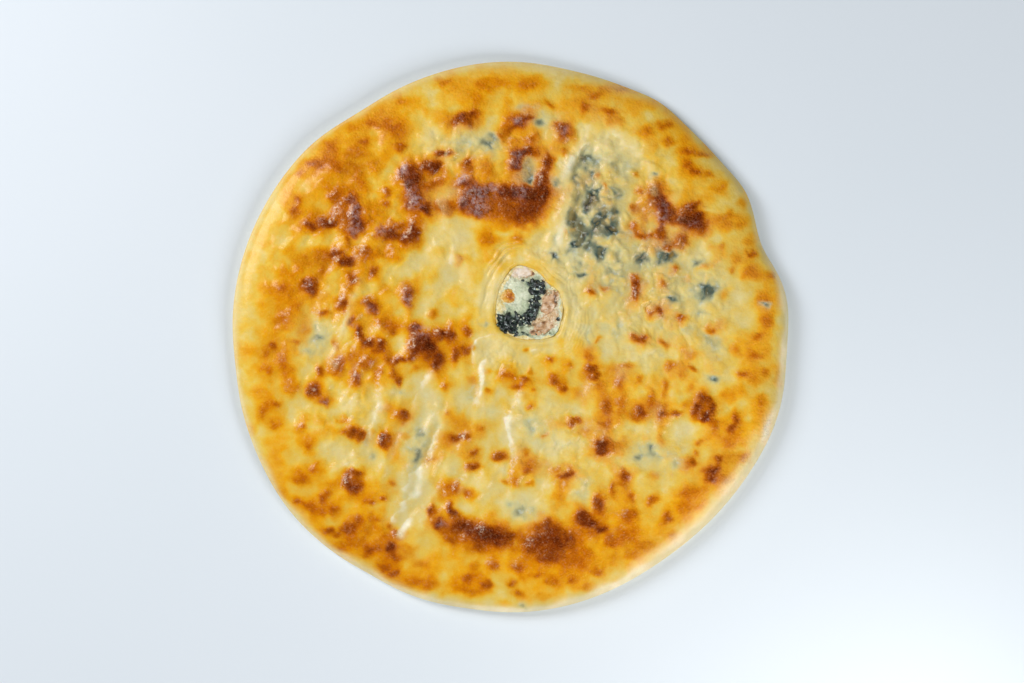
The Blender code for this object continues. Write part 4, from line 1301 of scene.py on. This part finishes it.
CHEESE_TONES = (  # from clean to soaked with leaf juice
    (0.0, "f0efd2"), (0.25, "dcdfbe"), (0.5, "b6bf98"), (0.75, "66786e"), (1.0, "121c1a"),
)
MEAT_TONES = ((0.0, "f4e2d0"), (0.3, "e8caa6"), (0.5, "d2a478"), (0.72, "a47448"), (1.0, "543418"))
SHRED_TONES = ((0.3, "f0dab4"), (0.5, "deb888"), (0.7, "b08450"))
DOUGHY_TONES = ((0.3, "f6eabc"), (0.55, "eed890"), (0.8, "dcb868"))


def cheese_material():
    shader = Shader("soft_cheese")
    stain = shader.varied(shader.field("stain"), shader.noise(1.3, 3.0, 0.65), 0.7)
    shreds = shader.varied(shader.field("meat"), shader.noise(1.6, 3.0, 0.6), 0.9)
    meat = shader.ramp(shader.noise(1.1, 3.0, 0.6), SHRED_TONES)
    colour = shader.mix(shader.scaled(shreds, 3.0, -1.2), shader.ramp(stain, CHEESE_TONES), meat)
    doughy = shader.varied(shader.field("doughy"), shader.noise(1.8, 3.0, 0.6), 0.8)
    dough = shader.ramp(shader.noise(2.0), DOUGHY_TONES)
    colour = shader.mix(shader.scaled(doughy, 4.0, -1.6), colour, dough)
    normal = shader.bumped(shader.noise(0.9, 3.0, 0.6), 0.5)
    roughness = shader.varied(0.36, shader.noise(1.4), 0.2)
    return shader.finish(
        colour, roughness, normal, coat=0.3, coat_roughness=0.15, depth=0.1,
        depth_radius=(1.0, 0.8, 0.5), depth_scale=0.001,
    )


def spinach_material():
    shader = Shader("baked_spinach")
    tone = shader.noise(2.0, 3.0, 0.6)
    # The lightest tones are painted glints on the glossy leaves.
    leaf_and_glint_tones = (
        (0.34, "040807"), (0.46, "07100e"), (0.52, "12211e"), (0.58, "2c3c24"), (0.63, "5a6c66"),
        (0.7, "d0dcda"),
    )
    normal = shader.bumped(shader.noise(0.9, 3.0, 0.6), 0.4)
    roughness = shader.varied(0.4, shader.noise(1.0), 0.2)
    return shader.finish(
        shader.ramp(tone, leaf_and_glint_tones), roughness, normal, specular=0.5, coat=0.6, coat_roughness=0.1
    )


def chicken_material():
    shader = Shader("cooked_chicken")
    fibre = shader.noise(0.8, 4.0, 0.65, stretch=((0.35, 1.0, 1.0), math.radians(60)))
    stain = shader.varied(shader.field("stain"), shader.noise(3.6), 0.9)
    meat = shader.ramp(shader.varied(stain, fibre, 0.45), MEAT_TONES)
    share = shader.scaled(shader.noise(3.2, 3.0, 0.55), 5.0, -2.9)
    colour = shader.mix(share, meat, srgb("ece2cc"))
    normal = shader.bumped(fibre, 0.3)
    roughness = shader.varied(0.38, shader.noise(1.2), 0.2)
    return shader.finish(colour, roughness, normal, coat=0.25, coat_roughness=0.2)


def browned_cheese_material():
    shader = Shader("browned_cheese")
    stain = shader.varied(shader.field("stain"), shader.noise(1.3, 3.0, 0.65), 0.6)
    browned_tones = (
        (0.0, "ecc878"), (0.3, "e29c2c"), (0.55, "cc7616"), (0.8, "984a0c"), (1.0, "4a2006")
    )
    normal = shader.bumped(shader.cells(0.9), -0.25)
    roughness = shader.varied(0.34, shader.noise(1.0), 0.15)
    colour = shader.ramp(stain, browned_tones)
    return shader.finish(colour, roughness, normal, coat=0.3, coat_roughness=0.15)


def floor_material():
    shader = Shader("pale_floor")
    colour = shader.ramp(shader.noise(300.0), ((0.3, "e0e6ea"), (0.7, "e3e8ec")))
    normal = shader.bumped(shader.noise(3.0), 0.02)
    return shader.finish(colour, 0.6, normal)


# ---- pieces


KEY_LIGHT_SIDE = (-0.87, 0.5)  # the side the key light comes from, up to the left: painted light and shade follow it


def key_light_facing(points, faces):
    """How far each point's surface turns toward the side the key light comes from, 0 to 1, for painted
    light and shade.
    """
    corners = np.array(faces)
    a, b, c = (points[corners[:, at]] for at in range(3))
    across = np.cross(b - a, c - a)
    normals = np.zeros(points.shape)
    for at in range(3):
        for axis in range(3):
            normals[:, axis] += np.bincount(corners[:, at], across[:, axis], len(points))
    normals /= np.linalg.norm(normals, axis=1)[:, None]
    upward = np.sign(normals[:, 2])
    return upward * (normals[:, 0] * KEY_LIGHT_SIDE[0] + normals[:, 1] * KEY_LIGHT_SIDE[1])


def make_crust():
    """From the cavity's floor, up its wall, in along the ceiling, over the lip and out."""
    around = angles(edge_count())
    cavity = list(reversed(flat_rings(RIM_WIDTH, FLOOR_THICKNESS, CAVITY_SPACING)))
    floor_count = spaced(math.tau * (PIE_RADIUS - RIM_WIDTH), CAVITY_SPACING)
    cavity.append(rows_of(edge_point(RIM_WIDTH, angles(floor_count)), FLOOR_THICKNESS))
    cavity += list(reversed(roof_rings(roof_underside, CAVITY_SPACING)))
    flat_places = skin_rings() + [edge_point(inward, around) for inward in EDGE_RINGS]
    x = np.concatenate([place[0] for place in flat_places])
    y = np.concatenate([place[1] for place in flat_places])
    brown, golden = browned(x, y)
    shown, lumpy = stuffed(x, y)
    relief = skin_relief(x, y, brown, shown, lumpy)
    baked = np.column_stack((x, y, skin_height(x, y, relief)))
    cuts = np.cumsum([len(place[0]) for place in flat_places])[:-1]
    top = np.split(baked, cuts)
    below = [rows_of(edge_point(inward, around), z) for inward, z in UNDERSIDE_RINGS]
    base_count = spaced(math.tau * PIE_RADIUS, BASE_SPACING)
    below.append(rows_of(edge_point(BASE_INWARD, angles(base_count)), 0.0))
    below += flat_rings(BASE_INWARD, 0.0, BASE_SPACING)
    points, faces = skin_of(cavity + top + below)
    before = 1 + sum(len(ring) for ring in cavity)
    skin = slice(before, before + len(baked))
    under = slice(skin.stop, len(points))
    white, shade = scarp_fields(x, y)
    lit = key_light_facing(points, faces)[skin]
    # Painted shading: positive is shade in the relief's dips and on slopes turned from the key light,
    # negative is light on the crests and slopes that face it.
    painted_shading = 0.2 - 0.4 * (relief - SPOT_RISE * brown) - 1.2 * lit
    painted_shading *= smooth(vent_distance(x, y), 0.8, 4.0)
    # Where painted sheen and glints go: slopes that face the key light.
    facing = smooth(lit, 0.08, 0.36) * smooth(edge_distance(x, y), 8.0, 40.0)
    facing *= (1.0 - 0.5 * brown) * (0.3 + 0.7 * np.clip(spread(x, y, RIDGED_AREAS), 0.0, 1.0))
    # Painted reflections on the dark blisters, stronger where they face the key light.
    painted_reflection = combined(*strayed(x, y), PAINTED_REFLECTIONS) * (0.5 + 0.5 * smooth(lit, -0.1, 0.3))
    for at_x, at_y, radius, _ in BURST:
        painted_reflection *= 1.0 - 0.7 * bump((np.hypot(x - at_x, y - at_y) - 0.7 * radius) / 0.9)
    on_skin = {
        "toast": toast_field(x, y, brown, golden),
        "green": green_field(x, y, brown, shade, lumpy),
        "raw": raw_field(x, y, white),
        "facing": facing,
        "painted_reflection": painted_reflection,
        "painted_shading": np.clip(painted_shading, -1.0, 1.0),
    }
    fields = {name: np.zeros(len(points)) for name in on_skin}
    for name, values in on_skin.items():
        fields[name][skin] = values
    below_x, below_y = points[under, 0], points[under, 1]
    browner = smooth(edge_distance(below_x, below_y), 0.5, 9.0)
    fields["toast"][:before] = CAVITY_TOAST
    fields["toast"][under] = 0.1 + browner * (0.4 + 0.15 * lumps(below_x, below_y, 16.0, 12))
    fields["raw"][under] = 1.0 - browner
    piece = add_piece("baked_crust", points, faces, crust_material(), fields)
    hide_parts("crust")


def make_filling():
    """The disc inside the crust, with curds where it shows in the vent."""
    inward = RIM_WIDTH + GAP
    shown = []
    steps = round(VENT_RADIUS / (CURD_SPACING * RING_SHRINK))
    for step in range(1, steps):
        share = step / steps
        count = spaced(math.tau * share * VENT_RADIUS, CURD_SPACING)
        shown.append(rows_of(vent_point(share, angles(count)), curd_height))
    shown.append(rows_of(vent_point(LAST_RING_SHARE, angles(len(shown[-1]))), curd_height))
    roof = roof_rings(filling_height, CAVITY_SPACING)
    bottom = FLOOR_THICKNESS + GAP
    wall = [
        rows_of(edge_point(inward, angles(len(roof[-1]))), z)
        for z in (RIM_INNER_HEIGHT - GAP, bottom)
    ]
    points, faces = skin_of(shown + roof[:-1] + wall + flat_rings(inward, bottom, CAVITY_SPACING))
    x, y = points[:, 0], points[:, 1]
    stain = 0.2 + 0.8 * combined(x, y, STAINS)
    doughy = smooth(vent_distance(x, y) + MELTED + 1.4 * lumps(x, y, 5.0, 41), 0.0, 1.6)
    doughy = np.maximum(doughy, combined(x, y, RUN_OVER))
    fields = {"stain": stain, "meat": combined(x, y, SHREDDED), "doughy": doughy}
    piece = add_piece("cheese_filling", points, faces, cheese_material(), fields)
    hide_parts("filling")


def bit_rings(name, rise_of, ragged):
    """Rings over a bit's top and back under it. Its outline is a bent, ragged oval."""
    centre, halves, turn, bend, height = VENT_BITS[name]
    cos, sin = math.cos(math.radians(turn)), math.sin(math.radians(turn))
    count = spaced(math.tau * math.hypot(*halves) / math.sqrt(2), BIT_SPACING)
    around = angles(count)
    wander = 1.0 + ragged * lumps(2.2 * np.cos(around), 2.2 * np.sin(around), 1.0, centre[0])
    wander += 0.5 * ragged * lumps(5.0 * np.cos(around), 5.0 * np.sin(around), 1.0, centre[1])

    def place(share):
        along, across = share * np.cos(around), share * np.sin(around)
        u = halves[0] * along * wander
        v = halves[1] * across * wander + bend * (along**2 - 0.5 * share)
        return centre[0] + u * cos - v * sin, centre[1] + u * sin + v * cos

    def upper(share):
        x, y = place(share)
        rise = BIT_EDGE + (height - BIT_EDGE) * arch(1.25 * (1.0 - share))
        rise = rise + rise_of(x, y) * smooth(1.0 - share, 0.0, 0.25)
        return np.column_stack((x, y, filling_height(x, y) + GAP + np.maximum(rise, 0.15)))

    def under(share):
        x, y = place(share)
        return np.column_stack((x, y, filling_height(x, y) - 0.2))

    shares = [step / BIT_RINGS for step in range(1, BIT_RINGS + 1)]
    return [upper(share) for share in shares] + [under(0.98), under(0.5)]


def crumpled(x, y):
    """The sharp folds of a heap of cooked leaves."""
    sharp = 1.0 - 2.0 * np.abs(lumps(x, y, 4.2, 31))
    finer = 1.0 - 2.0 * np.abs(lumps(x, y, 1.8, 32))
    return 0.95 * sharp + 0.18 * finer - 0.5


def fibrous(x, y):
    """The soft lumps and strands of torn meat."""
    strands = lumps(0.5 * x - 0.87 * y, 0.35 * (0.87 * x + 0.5 * y), 1.6, 33)
    return 0.7 * lumps(x, y, 3.4, 34) + 0.35 * strands + 0.15 * lumps(x, y, 1.6, 39)


def bubbly(x, y):
    return 0.35 * bubbles(x, y, 2.0, 35) + 0.12 * lumps(x, y, 0.9, 36)


def make_bit(name, kind, shape_of, ragged, material, stain_of):
    points, faces = skin_of(bit_rings(name, shape_of, ragged))
    fields = {"stain": stain_of(points[:, 0], points[:, 1])} if stain_of else {}
    piece = add_piece(f"{name}_{kind}", points, faces, material, fields)
    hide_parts(name)


MEAT_TONE = {"chicken_upper": 0.14, "chicken_right": 0.46, "chicken_lower": 0.5}
DARKEST = (-0.6, 24, 3, 3.2)  # of the browned cheese: centre, half-sizes
MEAT_CREASES = (  # half-width, how dark, and the points of the line
    (1.1, 0.5, ((26.5, 24.0), (27.2, 18.0), (24.6, 13.0))),
    (1.2, 0.6, ((14.0, 38.5), (12.0, 35.5))),
    (0.9, 0.3, ((12.0, 2.8), (18.0, 4.0))),
)


def browned_stain(x, y):
    """How brown the browned cheese is: most near its middle."""
    return 0.08 + 0.6 * bump(oval(x, y, *DARKEST)) - 0.15 * lumps(x, y, 2.5, 38)


def make_vent_bits():
    leaf, meat, browned_skin = spinach_material(), chicken_material(), browned_cheese_material()
    for name in VENT_BITS:
        if name.startswith("spinach"):
            make_bit(name, "leaf", crumpled, 0.18, leaf, None)
        elif name.startswith("chicken"):
            tone = MEAT_TONE[name]
            make_bit(
                name, "meat", fibrous, 0.17, meat,
                lambda x, y, t=tone: t + 0.2 * lumps(x, y, 3.0, 37) + fold_height(x, y, MEAT_CREASES),
            )
        else:
            make_bit(name, "skin", bubbly, 0.16, browned_skin, browned_stain)


SCRAP_SEED = 7
SCRAP_SECTION = ((0.25, 1.0), (0.5, 0.9), (0.75, 0.66), (0.92, 0.36), (1.0, 0.0), (0.8, -0.3))


def scrap(centre, halves, turn, seed):
    """One small crumpled scrap that lies in the vent."""
    around = angles(8 + round(6 * halves[0]))
    wander = 1.0 + 0.3 * lumps(1.5 * np.cos(around), 1.5 * np.sin(around), 1.0, seed)
    rings = []
    for share, rise in SCRAP_SECTION:
        u = halves[0] * share * np.cos(around) * wander
        v = halves[1] * share * np.sin(around) * wander
        x = centre[0] + u * math.cos(turn) - v * math.sin(turn)
        y = centre[1] + u * math.sin(turn) + v * math.cos(turn)
        folds = 0.5 * halves[2] * crumpled(x, y) * (1.0 - share)
        rings.append(np.column_stack((x, y, curd_height(x, y) + rise * halves[2] + folds)))
    return skin_of(rings)


LEAF_SCRAPS = (  # centre and half-size
    (-5.0, 5.6, 3.0), (-5.6, 10.8, 2.8), (0.6, 4.0, 2.8), (1.6, 9.4, 3.0), (-2.0, 12.6, 2.4),
    (4.6, 12.4, 2.2), (9.0, 12.0, 2.6), (10.6, 8.6, 2.2), (12.4, 12.0, 2.4), (15.8, 20.0, 2.4),
    (12.6, 21.4, 2.2), (15.4, 24.6, 2.2), (12.6, 27.4, 2.6), (19.0, 27.2, 2.4), (18.6, 32.0, 2.4),
    (13.4, 32.4, 2.4), (-7.0, 7.4, 1.8), (-3.4, 2.8, 1.8), (3.4, 1.8, 1.8), (11.0, 15.6, 1.8),
    (15.0, 2.0, 1.1), (28.4, 10.6, 1.5), (7.4, 33.6, 1.0), (3.2, 14.2, 1.2), (9.4, 13.6, 1.2),
    (10.8, 31.6, 1.2), (12.6, 18.6, 1.6), (17.0, 23.0, 1.6), (8.2, 9.6, 1.8), (-1.0, 6.6, 2.2),
)
CHEESE_CRUMBS = (
    (15.6, 28.6, 1.0), (9.4, 7.0, 0.9), (4.4, 6.6, 0.7), (13.0, 20.2, 0.5),
)
CRUMB_LIFT = 1.4  # crumbs lie on the leaves
SCATTERED_LEAVES = ((9, 9, 5, 3, 6), (14, 18, 2, 5, 4), (10, 2, 4, 1.5, 2))
SCATTERED_CRUMBS = (
    (5, 7, 4, 3, 9), (9, 11, 4, 3, 5), (14, 19, 3, 5, 4), (18, 30, 3, 4, 4), (20, 2, 6, 2, 5),
    (7, 34.8, 6, 1.2, 14), (1, 37, 1.5, 2.5, 5), (-1, 19.6, 4, 1.2, 5), (24, 27, 2, 2, 4),
)


def scattered(places, chance, smallest, largest):
    """Chance places in ovals, each with its centre, half-sizes and how many lie in it."""
    for x, y, half_x, half_y, many in places:
        for _ in range(many):
            across, along = chance.uniform(-1, 1, 2)
            yield x + half_x * across, y + half_y * along, chance.uniform(smallest, largest)


def make_scraps():
    """Loose scraps of leaf and crumbs of cheese in the vent."""
    chance = np.random.default_rng(SCRAP_SEED)
    leaf_places = [*LEAF_SCRAPS, *scattered(SCATTERED_LEAVES, chance, 0.9, 1.9)]
    leaves = [
        scrap((x, y), (half, 0.7 * half, 0.4 + 0.5 * half), chance.uniform(0, math.pi), step + 0.5)
        for step, (x, y, half) in enumerate(leaf_places)
    ]
    piece = add_piece("spinach_scraps", *joined(leaves), spinach_material(), {})
    crumb_places = [*CHEESE_CRUMBS, *scattered(SCATTERED_CRUMBS, chance, 0.25, 0.6)]
    crumbs = [
        scrap((x, y), (half, 0.8 * half, 0.9), chance.uniform(0, math.pi), step + 40.5)
        for step, (x, y, half) in enumerate(crumb_places)
    ]
    points, faces = joined(crumbs)
    points[:, 2] += CRUMB_LIFT
    stain = {"stain": np.full(len(points), 0.15)}
    piece = add_piece("cheese_crumbs", points, faces, cheese_material(), stain)


# ---- camera, light, floor

CAMERA_PLACE = (0.9, -2.7)  # straight above this point
CAMERA_HEIGHT = 1453.0
LENS = 85.0
SENSOR = 36.0
LIGHTS = (  # name, place, size, power, colour
    ("key", (-1250.0, 600.0, 1030.0), 730.0, 22.6, "f6faff"),
    ("second", (990.0, -940.0, 1040.0), 780.0, 18.5, "f6faff"),
    ("rim", (240.0, -330.0, 150.0), 200.0, 0.28, "fbfaf4"),
    ("sparkle", (-480.0, 340.0, 1060.0), 110.0, 1.5, "fff8f2"),
)
SKY_STRENGTH = 0.12
FLOOR_CORNERS = ((-3000, -3000), (3000, -3000), (3000, 3000), (-3000, 3000))


def make_camera():
    data = bpy.data.cameras.new("camera")
    data.lens = LENS
    data.sensor_width = SENSOR
    camera = placed("camera", data)
    camera.location = Vector((*CAMERA_PLACE, CAMERA_HEIGHT)) * MM
    bpy.context.scene.camera = camera


def make_light(name, place, size, power, colour):
    """A square soft light that faces the pie."""
    data = bpy.data.lights.new(name, "AREA")
    data.size = size * MM
    data.energy = power
    data.color = srgb(colour)[:3]
    light = placed(name, data)
    light.location = Vector(place) * MM
    light.rotation_euler = (-light.location).to_track_quat("-Z", "Y").to_euler()


def make_stage():
    corners = np.array([(x, y, -GAP) for x, y in FLOOR_CORNERS])
    mesh = bpy.data.meshes.new("floor")
    mesh.from_pydata((corners * MM).tolist(), [], [(0, 1, 2, 3)])
    mesh.materials.append(floor_material())
    floor = placed("floor", mesh)
    floor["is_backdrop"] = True
    world = bpy.data.worlds.new("studio")
    world.use_nodes = True
    sky = world.node_tree.nodes["Background"]
    sky.inputs["Color"].default_value = srgb("eef4fa")
    sky.inputs["Strength"].default_value = SKY_STRENGTH
    bpy.context.scene.world = world
    bpy.context.scene.view_settings.view_transform = "Standard"


def save_sizes():
    """The solids' box and the visual model's box."""
    boxes = {"cad": CAD_BOX, "visual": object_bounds()}
    {name: [list(corner) for corner in box] for name, box in boxes.items()}


make_crust()
make_filling()
make_vent_bits()
make_scraps()
make_stage()
make_camera()
for light in LIGHTS:
    make_light(*light)
save_sizes()
